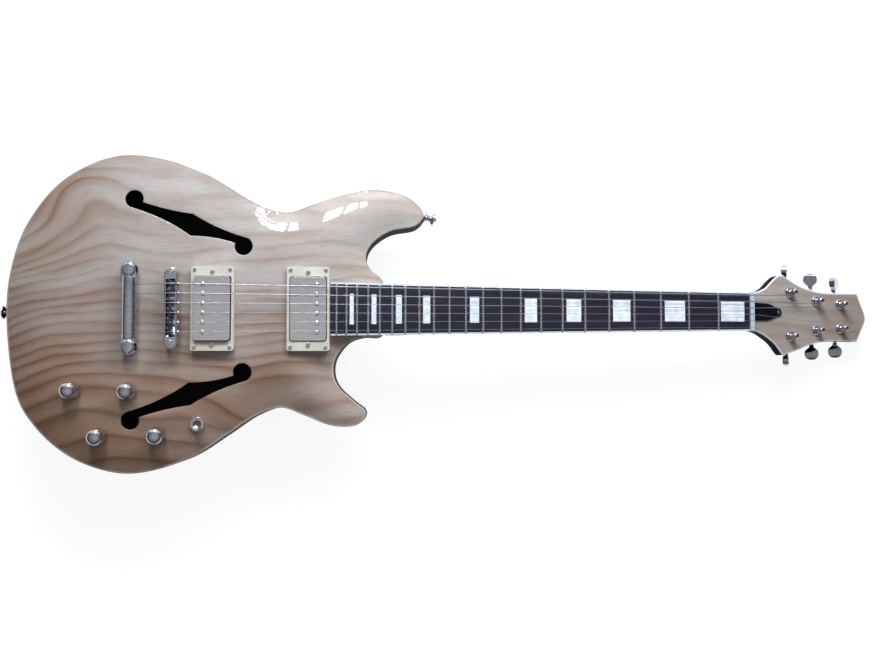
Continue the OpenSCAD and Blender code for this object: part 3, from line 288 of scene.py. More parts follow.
# %% Clouded finishes
CLOUDED = {
    # slot: name, light colour, dark colour, cloud size in mm, roughness range, coat, specular level
    # sprayed and rubbed out: black that shows only what it mirrors
    "black_lacquer": ("black_gloss_lacquer", "#121116", "#0a0a0d", 60, (0.12, 0.2), 0.09, 0.0),
    # scraped celluloid: pale, with a soft sheen
    "ivory_binding": ("celluloid_binding", "#e2e5e9", "#cfd3d8", 25, (0.22, 0.32), 0.3, 0.5),
    # the same under old lacquer: tan and a little duller
    "aged_binding": ("lacquered_edge_binding", "#b8a99c", "#a3958a", 25, (0.22, 0.32), 0.25, 0.3),
    # sawn and polished shell: white clouds with a blue cast
    "pearl": ("mother_of_pearl", "#fcfdff", "#dde3ee", 7, (0.12, 0.28), 0.5, 0.5),
    # filed and polished: greyish, with a satin gleam
    "bone": ("polished_bone", "#bfc5d0", "#adb3c0", 9, (0.28, 0.4), 0.0, 0.5),
    # pressed sheet, cut and buffed: deep black with small highlights
    "black_plastic": ("laminated_black_plastic", "#101119", "#09090f", 18, (0.14, 0.24), 0.0, 0.35),
    # injection moulded: warm and even, with broad highlights
    "cream_plastic": ("moulded_cream_plastic", "#ded7cb", "#cfc7b8", 22, (0.26, 0.36), 0.0, 0.5),
    # injection moulded: a bright white, slightly yellow
    "white_plastic": ("moulded_white_plastic", "#ece9e0", "#dedacb", 8, (0.24, 0.34), 0.0, 0.5),
    # cloth tape over wire: dark brown and dull
    "coil": ("wound_coil_tape", "#2a2119", "#171310", 5, (0.5, 0.65), 0.0, 0.3),
}
for slot, (name, light, dark, cloud, rough_range, coat, specular) in CLOUDED.items():
    material, tree, shader = finish(name, Coat_Weight=coat, Coat_Roughness=0.04, Specular_IOR_Level=specular)
    place = add(tree, "ShaderNodeTexCoord").outputs["Object"]
    clouds = add(tree, "ShaderNodeTexNoise", sockets={
        "Vector": place, "Scale": per_mm(cloud), "Detail": 3.0}).outputs["Fac"]
    colour = add(tree, "ShaderNodeValToRGB", {"stops": [(0.35, linear(dark)), (0.65, linear(light))]},
                 {"Fac": clouds}).outputs["Color"]
    tree.links.new(colour, shader.inputs["Base Color"])
    grit = add(tree, "ShaderNodeTexNoise", sockets={
        "Vector": place, "Scale": per_mm(1.2), "Detail": 4.0}).outputs["Fac"]
    rough = add(tree, "ShaderNodeMapRange", sockets={
        "Value": grit, "From Min": 0.3, "From Max": 0.7,
        "To Min": rough_range[0], "To Max": rough_range[1]}).outputs["Result"]
    tree.links.new(rough, shader.inputs["Roughness"])
    bump = add(tree, "ShaderNodeBump", sockets={
        "Strength": 0.05, "Distance": 0.1 * MM, "Height": grit}).outputs["Normal"]
    tree.links.new(bump, shader.inputs["Normal"])
    FINISH[slot] = material
print("made", sorted(FINISH))

# %% [markdown]
# Rosewood
#
# The board is oiled, not lacquered: near black with plum-brown streaks that run its length, and
# fine open pores that keep it from shining. A wave texture would give even stripes, so noise that
# is stretched along the board gives both, the streaks at 70 mm and the pores at 7 mm.

# %% Rosewood finish
material, tree, shader = finish("oiled_rosewood", IOR=1.5)
place = add(tree, "ShaderNodeTexCoord").outputs["Object"]
streak_place = add(tree, "ShaderNodeMapping", sockets={
    "Vector": place, "Scale": (per_mm(70), per_mm(3.5), per_mm(10))}).outputs["Vector"]
streaks = add(tree, "ShaderNodeTexNoise", sockets={
    "Vector": streak_place, "Scale": 1.0, "Detail": 4.0}).outputs["Fac"]
pore_place = add(tree, "ShaderNodeMapping", sockets={
    "Vector": place, "Scale": (per_mm(7), per_mm(0.6), per_mm(5))}).outputs["Vector"]
pores = add(tree, "ShaderNodeTexNoise", sockets={
    "Vector": pore_place, "Scale": 1.0, "Detail": 2.0}).outputs["Fac"]
wood = add(tree, "ShaderNodeValToRGB", {"stops": [
    (0.3, linear("#141323")), (0.5, linear("#1f1c2e")), (0.68, linear("#2f2633"))]},
    {"Fac": streaks}).outputs["Color"]
pore_depth = add(tree, "ShaderNodeMapRange", sockets={
    "Value": pores, "From Min": 0.52, "From Max": 0.66, "To Max": 0.7}).outputs["Result"]
wood = add(tree, "ShaderNodeMix", {"data_type": "RGBA"}, {
    "Factor": pore_depth, 6: wood, 7: linear("#0f0b12")}).outputs[2]
tree.links.new(wood, shader.inputs["Base Color"])
rough = add(tree, "ShaderNodeMapRange", sockets={
    "Value": pores, "To Min": 0.38, "To Max": 0.62}).outputs["Result"]
tree.links.new(rough, shader.inputs["Roughness"])
bump = add(tree, "ShaderNodeBump", {"invert": True}, {
    "Strength": 0.25, "Distance": 0.15 * MM, "Height": pores}).outputs["Normal"]
tree.links.new(bump, shader.inputs["Normal"])
FINISH["rosewood"] = material
print("made", material.name)

# %% [markdown]
# Metals
#
# Chrome is polished mirror-bright, with slight waviness in the plating. The pickup covers are
# satin nickel, warmer and softer. Frets, strings and inner steel are nickel silver and steel
# with fine scratches, and the saddles' dark colour is painted shade and painted dark reflection
# from their place down in the bridge's trough. One recipe serves them all:
# scratches of a given length and width vary the colour, the roughness and the bump. A metal keeps
# the default IOR; its colour does the work.

# %% Metal finishes
METALS = {
    # slot: name, light, dark, roughness range, scratch length and width in mm, bump
    # plated and polished: a mirror, slightly wavy
    "chrome": ("chrome_plate", "#d0d0d8", "#bdbdc8", (0.05, 0.1), (9, 2.5), 0.01),
    # plated on brushed metal: bright, with blurred reflections
    "nickel": ("satin_nickel_plate", "#f0eded", "#e1dedf", (0.2, 0.28), (14, 0.5), 0.03),
    # drawn, then polished by playing: bright, with a soft gleam
    "fret_wire": ("polished_fret_wire", "#e9ebf4", "#d4d7e3", (0.2, 0.3), (2, 0.4), 0.03),
    # plated steel, painted dark as shade and dark reflections down in the bridge's trough: dark and uneven
    "painted_shade_saddle_steel": ("saddle_steel_with_painted_shade", "#75757f", "#3f3f4a", (0.18, 0.3), (3, 1.2), 0.05),
    # zinc plated: grey, with a dull sheen
    "steel": ("plated_steel", "#a5a5a8", "#8a8a8d", (0.3, 0.42), (3, 0.8), 0.08),
    # drawn wire: a thin soft line of light along it
    "string_steel": ("wound_string_steel", "#b9bbc4", "#a3a6b0", (0.3, 0.38), (5, 1.5), 0.02),
}
for slot, (name, light, dark, rough_range, scratch, bump_strength) in METALS.items():
    material, tree, shader = finish(name, Metallic=1.0)
    place = add(tree, "ShaderNodeTexCoord").outputs["Object"]
    scratch_place = add(tree, "ShaderNodeMapping", sockets={
        "Vector": place,
        "Scale": (per_mm(scratch[0]), per_mm(scratch[1]), per_mm(scratch[1]))}).outputs["Vector"]
    scratches = add(tree, "ShaderNodeTexNoise", sockets={
        "Vector": scratch_place, "Scale": 1.0, "Detail": 3.0}).outputs["Fac"]
    colour = add(tree, "ShaderNodeValToRGB", {"stops": [(0.35, linear(dark)), (0.65, linear(light))]},
                 {"Fac": scratches}).outputs["Color"]
    tree.links.new(colour, shader.inputs["Base Color"])
    rough = add(tree, "ShaderNodeMapRange", sockets={
        "Value": scratches, "From Min": 0.3, "From Max": 0.7,
        "To Min": rough_range[0], "To Max": rough_range[1]}).outputs["Result"]
    tree.links.new(rough, shader.inputs["Roughness"])
    bump = add(tree, "ShaderNodeBump", sockets={
        "Strength": bump_strength, "Distance": 0.05 * MM, "Height": scratches}).outputs["Normal"]
    tree.links.new(bump, shader.inputs["Normal"])
    FINISH[slot] = material
print("made", len(METALS), "metals")

# %% [markdown]
# The body's outline and carve
#
# The outline is one smooth closed curve through a few points, clockwise from the tail. The top
# rises 9 mm from its edge to the crown, steepest at the edge and flat after 56 mm; on the bass
# bout the slope is gentler and runs in farther, which is seen in how the window mirrors there. In
# wood the two slopes of a narrow horn run into each other without a ridge, so the heights are
# smoothed over the mesh. The points are those of the CAD, so the skins drawn from them fit it.

# %% Outline
def curve_through(points, steps, closed=True):
    """A smooth walk through points, by the same spline as in the CAD source."""
    p = np.array(points, float)
    n = len(p)
    take = (lambda i: p[i % n]) if closed else (lambda i: p[min(max(i, 0), n - 1)])
    walk = []
    for i in range(n if closed else n - 1):
        a, b, c, d = take(i - 1), take(i), take(i + 1), take(i + 2)
        for t in np.arange(steps) / steps:
            walk.append(0.5 * (2 * b + t * (c - a) + t * t * (2 * a - 5 * b + 4 * c - d)
                               + t ** 3 * (3 * b - a - 3 * c + d)))
    if not closed:
        walk.append(p[-1])
    return np.array(walk)


def inset(poly, distance):
    """A clockwise outline moved inwards."""
    along = np.roll(poly, -1, 0) - np.roll(poly, 1, 0)
    along /= np.linalg.norm(along, axis=1)[:, None]
    return poly + distance * np.stack([along[:, 1], -along[:, 0]], 1)


BODY_POINTS = [
    (-174, -10), (-170, 45), (-153, 94), (-118, 138), (-66, 164), (-15, 163), (37, 145),
    (75, 122), (101, 109), (125, 105.5), (152, 114.5), (185, 125), (216, 130), (249, 123),
    (268, 105), (259, 91), (232, 85), (213, 72), (206, 57), (212, 43), (224, 32), (227, 14),
    (227, -14), (221, -28), (203, -29), (187, -35), (174, -52), (172, -69), (178, -83), (193, -97),
    (206, -108), (203, -119), (190, -124.5), (168, -123), (141, -112.5), (116, -104.5), (88, -114),
    (58, -134), (19, -158.5), (-28, -172.5), (-66, -171), (-108, -154), (-143, -123), (-164, -84)]
OUTLINE_STEPS, BINDING = 9, 1.8
outline = curve_through(BODY_POINTS, OUTLINE_STEPS)
top_outline = inset(outline, BINDING)
print("outline:", len(outline), "points,", np.ptp(outline, 0).round(1), "mm")

# %% Carve
RIM, TOP_EDGE, ARCH = 44, 7, 9
SEAM, CROWN = RIM - TOP_EDGE, RIM + ARCH
# How far in the slope runs, how much farther on the bass bout, and where that sets in
ARCH_RUN, BOUT_RUN = 56, 70
BOUT_X, BOUT_FADE_X, BOUT_Y, BOUT_FADE_Y = 100, 34, 20, 60


def edge_distance(points, poly):
    """Distance of each point to a closed polygon's edge."""
    a, b = poly, np.roll(poly, -1, 0)
    best = np.full(len(points), 1e9)
    for p, q in zip(a, b):
        d = q - p
        t = np.clip(((points - p) @ d) / max(d @ d, 1e-12), 0, 1)
        best = np.minimum(best, np.linalg.norm(points - p - t[:, None] * d, axis=1))
    return best


def ease(t):
    """A smooth step from 0 to 1."""
    t = np.clip(t, 0, 1)
    return t * t * (3 - 2 * t)


def carve(points):
    """Height of the top; on the bass bout the slope runs in farther and is shallower."""
    x, y = points.T
    run = ARCH_RUN + BOUT_RUN * ease((BOUT_X - x) / BOUT_FADE_X) * ease((y - BOUT_Y) / BOUT_FADE_Y)
    t = np.clip(edge_distance(points, top_outline) / run, 0, 1)
    return RIM + ARCH * t * (2 - t)


print("height of the carve on the middle line, 20 mm in:", carve(np.array([(-152.0, -10.0)])).round(1), "mm")

# %% [markdown]
# The f-holes
#
# Each f-hole is two round lobes joined by a slot that swells to a notch in its middle. Its four
# long edges are single bends, each pulled by one point, so a dozen numbers hold the whole shape
# and it stays smooth however finely it is cut. The treble hole is the bass one mirrored.

# %% F-holes
BEND_STEPS, LOBE_STEPS = 14, 22
LOBE_R = 9.6
LOBE_TAIL, LOBE_NECK = np.array((-40, 117.6)), np.array((76.5, 67))
LOBE_SIDE, LOBE_END = LOBE_R * np.array((0.93, -0.36)), LOBE_R * np.array((0.25, 0.96))
POINT_OUT, POINT_IN = np.array((22, 101.8)), np.array((20.5, 78))


def bend(a, pull, b):
    """A curve from a to b, pulled towards one point."""
    a, pull, b = (np.array(p, float) for p in (a, pull, b))
    return [(1 - t) ** 2 * a + 2 * t * (1 - t) * pull + t * t * b
            for t in np.arange(BEND_STEPS + 1) / BEND_STEPS]


def lobe(centre, start, stop):
    """Arc of a lobe, clockwise from one place on it to another."""
    a = math.atan2(*(np.array(start) - centre)[::-1])
    b = math.atan2(*(np.array(stop) - centre)[::-1])
    while b > a:
        b -= 2 * math.pi
    return [centre + LOBE_R * np.array((math.cos(t), math.sin(t))) for t in np.linspace(a, b, LOBE_STEPS)]


f_hole = np.array(
    bend(LOBE_TAIL + LOBE_SIDE, (-5, 105), POINT_OUT)[:-1]
    + bend(POINT_OUT, (46, 86), LOBE_NECK + LOBE_END)[:-1]
    + lobe(LOBE_NECK, LOBE_NECK + LOBE_END, LOBE_NECK - LOBE_SIDE)
    + bend(LOBE_NECK - LOBE_SIDE, (46, 78), POINT_IN)[1:-1]
    + bend(POINT_IN, (-5, 97), LOBE_TAIL - LOBE_END)[:-1]
    + lobe(LOBE_TAIL, LOBE_TAIL - LOBE_END, LOBE_TAIL + LOBE_SIDE)[:-1])
f_holes = [f_hole, (f_hole * (1, -1))[::-1]]
print("f-hole:", len(f_hole), "points,", np.ptp(f_hole, 0).round(1), "mm")

# %% [markdown]
# Where the grain runs
#
# Towards the neck the grain runs straight with a slow wave. Towards the tail it fans out and falls
# away, steeply in the upper bout, where it also doubles back in one tall arch. Rings are about
# 11 mm apart near the middle, where the saw cut them on the quarter, and 24 mm at the outer parts,
# where it cut them flat. The wood is darkest towards the heart of the log, and that darkening is also
# painted shade on the tail, the bass bout's corner and the treble side. All of this could be
# painted on, but a few waves and humps give it at every point of the mesh, and stay easy to move.

# %% Grain lines
FAN_X = -60
# Humps in the grain: height, middle along x and y, reach along x and y, all in mm
TALL_ARCH = (26, -95, 128, 45, 30)
LOW_ARCH = (-22, 95, -118, 60, 26)


def hump(x, y, height, middle_x, middle_y, reach_x, reach_y):
    """A smooth hill, as a height at each place."""
    return height * np.exp(-((x - middle_x) / reach_x) ** 2 - ((y - middle_y) / reach_y) ** 2)


def grain_lines(x, y):
    """Place across the grain in mm: one value along each line of the grain."""
    # The fan opens towards the tail, four times as steeply at the bass edge
    fan = np.clip(FAN_X - x, 0, None) ** 1.5 * (0.015 + 0.045 * ease(y / 100))
    # A slow wave 300 mm long and a quick one of 120 mm
    wave = 3.2 * np.sin(x / 48 + 0.7 + y / 150) + 1.6 * np.sin(x / 19 + y / 31)
    return y + fan + wave - hump(x, y, *TALL_ARCH) - hump(x, y, *LOW_ARCH)


print("at the tail the middle line lies on grain line", round(float(grain_lines(-170, 0)), 1), "mm")

# %% Rings, heart and painted shade
RING_NARROW, RING_WIDE = 11.0, 24.0
NARROW_HALF, WIDENING = 40, 80
COUNT_REACH, COUNT_STEPS = 300, 1201


def ring_count(across):
    """How many rings lie between a far line on the treble side and a place across the grain."""
    steps, pace = np.linspace(-COUNT_REACH, COUNT_REACH, COUNT_STEPS, retstep=True)
    widened = ease((np.abs(steps) - NARROW_HALF) / WIDENING)
    width = RING_NARROW + (RING_WIDE - RING_NARROW) * widened
    counted = np.cumsum(pace / width)
    return np.interp(across, steps, counted)


def heart_and_painted_shade(x, y):
    """How near a place is to the heart of the log: the tail end and the treble edge are nearest, and there the
    darkening is also painted shade.
    """
    # The tail browns slowly from the bridge on, and once more in the bass bout's corner; this is partly
    # painted shade
    tail = 0.28 * ease((-10 - x) / 130) + 0.3 * ease((-50 - x) / 60) * ease((y - 50) / 60)
    # The treble side browns across its whole width, half as much at the horn; this too is partly painted shade
    treble = 0.7 * ease((45 - y) / 150) * (1 - 0.5 * ease((x - 110) / 60))
    return tail + treble


def add_grain(made, x, y):
    """Stores the grain on the mesh, for the finish: rings counted, metres across, nearness to the heart with
    its painted shade.
    """
    across = grain_lines(x, y)
    for name, values in (("grain", ring_count(across)), ("across", across * MM), ("heart", heart_and_painted_shade(x, y))):
        stored = made.data.attributes.new(name, "FLOAT", "POINT")
        stored.data.foreach_set("value", values.astype(np.float32))


print("rings across the body:", round(float(ring_count(160) - ring_count(-160)), 1))

# %% [markdown]
# Tools for shapes
#
# A piece is a mesh of points in millimetres, made into an object that rides on its CAD body. A skin
# joins rings of equally many points. Most shapes here are such skins: an outline, moved in and up in
# small steps, gives walls and rounded edges that follow the CAD's own curves, which a sculpted cage
# would only come near to. Flat sheets are filled with triangles between their edges.


def piece(name, points, faces, slot, stands_for=(), body="root", smooth=True, parts=None):
    """A mesh object from points in mm; parts gives faces another finish by slot name."""
    mesh = bpy.data.meshes.new(name)
    mesh.from_pydata([tuple(c * MM for c in p) for p in points], [], [tuple(f) for f in faces])
    mesh.materials.append(FINISH[slot])
    if parts:
        for index, (part_slot, part_faces) in enumerate(parts.items(), 1):
            mesh.materials.append(FINISH[part_slot])
            for f in part_faces:
                mesh.polygons[f].material_index = index
    mesh.polygons.foreach_set("use_smooth", [smooth] * len(mesh.polygons))
    mesh.update()
    return dress(put(name, mesh), stands_for, body)


def dress(made, stands_for=(), body="root"):
    """The object rides on its body, if it has one, and stands for its nodes."""
    if body:
        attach(made, body)
    if stands_for:
        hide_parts(*stands_for)
    return made


# %% Skins
def skin(rings, first=0):
    """Faces that join rings of equally many points; first is the number of the first point."""
    n = len(rings[0])
    return [(first + k * n + i, first + (k + 1) * n + i,
             first + (k + 1) * n + (i + 1) % n, first + k * n + (i + 1) % n)
            for k in range(len(rings) - 1) for i in range(n)]


def joined(rings):
    """The points of all rings in one list."""
    return [p for ring in rings for p in ring]


def lifted(poly, z):
    """An outline as a ring of points at one height."""
    return [(x, y, z) for x, y in poly]


square = np.array([(0, 0), (0, 10), (10, 10), (10, 0)], float)
print("a 10 mm cube has", len(skin([lifted(square, 0), lifted(square, 10)])), "side faces")

# %% Sheets with holes
# Rows of the triangle grid and the room it leaves at an edge, as shares of its spacing
ROW, EDGE_ROOM = 0.866, 0.55


def inside(points, poly):
    """Which points are inside a polygon, by counting crossings."""
    x, y = points[:, 0][:, None], points[:, 1][:, None]
    a, b = poly, np.roll(poly, -1, 0)
    crosses = (a[:, 1] > y) != (b[:, 1] > y)
    with np.errstate(divide="ignore", invalid="ignore"):
        at = (b[:, 0] - a[:, 0]) * (y - a[:, 1]) / (b[:, 1] - a[:, 1]) + a[:, 0]
    return ((x < at) & crosses).sum(1) % 2 == 1


def sheet_between(outer, holes, spacing):
    """Triangles of a flat sheet inside outer and outside holes, with a fine even grid."""
    loops = [outer] + list(holes)
    low, high = outer.min(0), outer.max(0)
    rows = np.arange(low[1], high[1], spacing * ROW)
    grid = np.array([(x + (k % 2) * spacing / 2, y) for k, y in enumerate(rows)
                     for x in np.arange(low[0], high[0], spacing)])
    keep = inside(grid, outer)
    for h in holes:
        keep &= ~inside(grid, h)
    grid = grid[keep]
    for loop in loops:
        grid = grid[edge_distance(grid, loop) > EDGE_ROOM * spacing]
    corners, edges = [], []
    for loop in loops:
        base = len(corners)
        corners += [tuple(p) for p in loop]
        edges += [(base + i, base + (i + 1) % len(loop)) for i in range(len(loop))]
    everything = [Vector(p) for p in corners] + [Vector(p) for p in grid]
    flat, _, triangles, sources, _, _ = delaunay_2d_cdt(everything, edges, [], 0, 1e-6)
    flat = np.array([tuple(p) for p in flat])
    middles = flat[np.array(triangles)].mean(1)
    wanted = inside(middles, outer)
    for h in holes:
        wanted &= ~inside(middles, h)
    number = {s: i for i, found in enumerate(sources) for s in found}
    rims, start = [], 0
    for loop in loops:
        rims.append([number[start + i] for i in range(len(loop))])
        start += len(loop)
    return flat, [t for t, w in zip(triangles, wanted) if w], rims


print("a 10 mm square on a 3 mm grid:", len(sheet_between(square, [], 3)[1]), "triangles")

# %% [markdown]
# The top plate
#
# The top is one sheet with four holes in it, two f-holes and two routs for the pickups, and gloss
# shows every flaw of its surface. Cutting the holes with a boolean would leave long thin faces
# that dent the reflections. So the sheet is meshed afresh between its edges on an even 3 mm grid,
# lifted to the carve and smoothed. The f-holes' edges are rounded over, and their walls are painted
# black as the shade inside the holes.

# %% Places on the top
COVER_W, COVER_L, ROUT_ROOM = 38, 67.5, 2
PICKUP_X = {"bridge": 46, "neck": 146}
NECK_TILT, FRET_PLANE = math.radians(3.5), 68
SCALE, FRETS, BOARD_PAST = 628, 22, 6
BOARD_END = SCALE * 2 ** (-FRETS / 12) - BOARD_PAST
NUT_HALF, BOARD_END_HALF = 21.2, 28.2


def board_half(d):
    """Half the board's width at a place along it."""
    return NUT_HALF + (BOARD_END_HALF - NUT_HALF) * (SCALE - d) / (SCALE - BOARD_END)


def box_loop(x0, y0, x1, y1, step=4):
    """A clockwise rectangle with a point every few millimetres."""
    corners = [(x0, y0), (x0, y1), (x1, y1), (x1, y0)]
    loop = []
    for (ax, ay), (bx, by) in zip(corners, corners[1:] + corners[:1]):
        n = max(1, round(math.hypot(bx - ax, by - ay) / step))
        loop += [(ax + (bx - ax) * k / n, ay + (by - ay) * k / n) for k in range(n)]
    return np.array(loop)


rout_w, rout_l = COVER_W / 2 + ROUT_ROOM, COVER_L / 2 + ROUT_ROOM
routs = [box_loop(x - rout_w, -rout_l, x + rout_w, rout_l) for x in PICKUP_X.values()]
print("routs:", 2 * rout_w, "x", 2 * rout_l, "mm")
print("the board ends", round(BOARD_END, 1), "mm from the bridge line")

# %% Heights of the top
EDGE_ROUND, TOP_GRID, SMOOTH_PASSES = 0.7, 3.0, 26
BOARD_DEPTH, BOARD_ROOM, END_ROOM = 7.3, 0.4, 0.5
wide_f = [inset(f, -EDGE_ROUND) for f in f_holes]
flat, triangles, rims = sheet_between(top_outline, wide_f + routs, TOP_GRID)
height = carve(flat)
neighbours = [set() for _ in flat]
for a, b, c in triangles:
    neighbours[a] |= {b, c}
    neighbours[b] |= {a, c}
    neighbours[c] |= {a, b}
free = [i for i in range(len(flat)) if neighbours[i] and i not in set(rims[0])]
lists = [np.array(sorted(neighbours[i])) for i in free]
for _ in range(SMOOTH_PASSES):
    means = np.array([height[k].mean() for k in lists])
    height[free] = 0.5 * (height[free] + means)
# The board is let into the carve: under it the top is cut down to the board's underside
pocket_z = FRET_PLANE - flat[:, 0] * math.tan(NECK_TILT) - BOARD_DEPTH / math.cos(NECK_TILT)
under_board = (flat[:, 0] > BOARD_END - END_ROOM) & (np.abs(flat[:, 1]) < BOARD_END_HALF + BOARD_ROOM)
points = [(x, y, min(z, p) if u else z) for (x, y), z, p, u in zip(flat, height, pocket_z, under_board)]
print("top sheet:", len(points), "points, crown", round(float(height.max()), 2), "mm")

# %% Top plate
EDGE_STEPS = 4
faces = [tuple(t) for t in triangles]
# The black walls inside the f-holes are painted shade
painted_shade_walls = []
for f, edge, rim in zip(f_holes, wide_f, rims[1:3]):
    rings = []
    for k in range(1, EDGE_STEPS + 1):
        a = math.pi / 2 * k / EDGE_STEPS
        at = edge + (f - edge) * math.sin(a)
        rings.append([(x, y, height[i] - EDGE_ROUND * (1 - math.cos(a))) for (x, y), i in zip(at, rim)])
    rings.append(lifted(f, SEAM))
    first = len(points)
    n = len(f)
    faces += [(rim[i], first + i, first + (i + 1) % n, rim[(i + 1) % n]) for i in range(n)]
    points += joined(rings)
    painted_shade_walls += range(len(faces) + (EDGE_STEPS - 1) * n, len(faces) + EDGE_STEPS * n)
    faces += skin(rings, first)
top = piece("ash_top", points, faces, "ash", ["body_top"], parts={"black_lacquer": painted_shade_walls})
place = np.array(points)
add_grain(top, place[:, 0], place[:, 1])
print("top:", len(points), "points,", len(faces), "faces")

# %% [markdown]
# Binding
#
# The binding is a strip glued into a rebate round the top and scraped round. It could be a bevelled
# curve, but a skin of outlines meets the top and the sides without a gap. The black of the sides is
# sprayed up over its lower part. It wears the aged finish.

# %% Binding
def quarter(radius, steps=5):
    """Pairs (in, up) along a quarter round from a side onto a top."""
    return [(radius * (1 - math.cos(a)), radius * math.sin(a)) for a in np.linspace(0, math.pi / 2, steps)]


BIND_ROUND, BIND_SHOWN = 1.0, 2.4
rings = [lifted(outline, SEAM), lifted(outline, RIM - BIND_SHOWN)]
rings += [lifted(inset(outline, i), RIM - BIND_ROUND + u) for i, u in quarter(BIND_ROUND)]
rings += [lifted(top_outline, RIM)]
edge = piece("top_binding", joined(rings), skin(rings), "ivory_binding", ["body_binding"],
             parts={"black_lacquer": range(len(outline))})
edge.data.materials[0] = FINISH["aged_binding"]
print("binding:", len(rings), "rings")

# %% [markdown]
# Back and sides
#
# Seen from outside, back and sides are one black shell: walls straight down from the binding, a
# 7 mm round and a flat back with a recess for the control cover. A bevel on a pulled-up outline
# would crease at the tight curves of the horns, so the round is a skin too: the outline, lifted
# and moved inwards step by step. Faces under the jack plate are left out, so its bore is open.

# %% Sides
BACK_ROUND, ROUND_STEPS, WALL_STEPS = 7, 8, 11
rings = [lifted(inset(outline, BACK_ROUND * (1 - math.sin(a))), BACK_ROUND * (1 - math.cos(a)))
         for a in np.linspace(0, math.pi / 2, ROUND_STEPS)]
rings += [lifted(outline, z) for z in np.linspace(BACK_ROUND, SEAM, WALL_STEPS)[1:]]
points = joined(rings)
print("sides:", len(rings), "rings,", SEAM, "mm high")

# %% Jack bore
JACK = np.array((-85, -161.8, 20.0))
JACK_TURN, JACK_ROOM, JACK_REACH = math.radians(-112), 10.5, 20
JACK_AXIS = np.array((math.cos(JACK_TURN), math.sin(JACK_TURN), 0))


def in_jack(face):
    """Whether a face lies wholly under the jack plate."""
    d = np.array([points[i] for i in face]) - JACK
    off = d - np.outer(d @ JACK_AXIS, JACK_AXIS)
    return (np.linalg.norm(off, axis=1) < JACK_ROOM).all() and abs(d @ JACK_AXIS).max() < JACK_REACH


faces = [f for f in skin(rings) if not in_jack(f)]
print("faces left out under the jack plate:", len(skin(rings)) - len(faces))

# %% Flat back
COVER_POINTS = [(-125, -65), (-20, -65), (24, -98), (24, -132), (-6, -146), (-78, -146), (-128, -96)]
COVER_T, COVER_LEDGE, BACK_GRID = 2, 4, 14
cover = np.array(COVER_POINTS, float)
flat, triangles, rims = sheet_between(inset(outline, BACK_ROUND), [cover], BACK_GRID)
first = len(points)
points += lifted(flat, 0)
faces += [tuple(first + i for i in reversed(t)) for t in triangles]
recess = [lifted(cover, 0), lifted(cover, COVER_T), lifted(inset(cover, COVER_LEDGE), COVER_T)]
faces += [q[::-1] for q in skin(recess, len(points))]
points += joined(recess)
piece("lacquered_back", points, faces, "black_lacquer", ["body_back"])
print("back:", len(points), "points")

# %% [markdown]
# Inside the f-holes
#
# Light falls through the f-holes onto the floor of two chambers of bare wood, whose near-black
# colour is painted shade for the closed body. The CAD has them cut out of the back, but here the
# back is only a shell. So each chamber is lined with a plain tray that follows the body's outline,
# cut straight along the middle block and at its ends.

# %% Chamber finish
# The chambers' near-black colour is painted shade; the wood inside is bare
material, tree, shader = finish("chamber_wood_painted_shade", Roughness=0.7)
place = add(tree, "ShaderNodeTexCoord").outputs["Object"]
long_place = add(tree, "ShaderNodeMapping", sockets={
    "Vector": place, "Scale": (per_mm(60), per_mm(4), per_mm(4))}).outputs["Vector"]
lines = add(tree, "ShaderNodeTexNoise", sockets={
    "Vector": long_place, "Scale": 1.0, "Detail": 3.0}).outputs["Fac"]
colour = add(tree, "ShaderNodeValToRGB", {"stops": [(0.3, linear("#0d0b0a")), (0.7, linear("#1c1714"))]},
             {"Fac": lines}).outputs["Color"]
tree.links.new(colour, shader.inputs["Base Color"])
FINISH["chamber"] = material
print("made", material.name)

# %% Chambers
CHAMBER_WALL, BLOCK_HALF, CHAMBER_X, CHAMBER_FLOOR = 15, 52, (-140, 112), 6


def ends(rings, first=0):
    """Two faces that close the first and the last ring of a skin."""
    n = len(rings[0])
    last = first + (len(rings) - 1) * n
    return [tuple(range(first, first + n)), tuple(reversed(range(last, last + n)))]


def clip(poly, axis, limit, keep_above):
    """A polygon cut off at a straight line across one axis."""
    kept = []
    for a, b in zip(poly, np.roll(poly, -1, 0)):
        ia = (a[axis] >= limit) == keep_above
        ib = (b[axis] >= limit) == keep_above
        if ia:
            kept.append(a)
        if ia != ib:
            kept.append(a + (b - a) * (limit - a[axis]) / (b[axis] - a[axis]))
    return np.array(kept)


for side, name in ((1, "bass_chamber"), (-1, "treble_chamber")):
    room = clip(inset(outline, CHAMBER_WALL), 1, side * BLOCK_HALF, side > 0)
    room = clip(clip(room, 0, CHAMBER_X[0], True), 0, CHAMBER_X[1], False)
    rings = [lifted(room, SEAM), lifted(room, CHAMBER_FLOOR)]
    piece(name, joined(rings), skin(rings) + ends(rings)[1:], "chamber", smooth=False)
    print(name, "is", np.ptp(room, 0).round(1), "mm wide and", SEAM - CHAMBER_FLOOR, "mm deep")

# %% [markdown]
# The neck
#
# The neck is drawn in a frame that lies along the board: d from the bridge line towards the nut, y
# to the bass side, h above the fret tops. The headstock has its own frame, tilted back 12 degrees
# behind the nut. The hand feels the back of the neck as one smooth form from heel to volute. One
# section pushed along a path would be too even, so it is a skin over ten sections.

# %% Neck frames
NUT_BACK = SCALE + 4.5
BOARD_TOP, BOARD_BASE = -1.1, -7.1
HEAD_TILT, HEAD_LEVEL = math.radians(12), BOARD_TOP - 3


def neck_point(d, y, h):
    """A place in the neck's frame as a place in the part's frame."""
    c, s = math.cos(NECK_TILT), math.sin(NECK_TILT)
    return (d * c + h * s, y, FRET_PLANE - d * s + h * c)


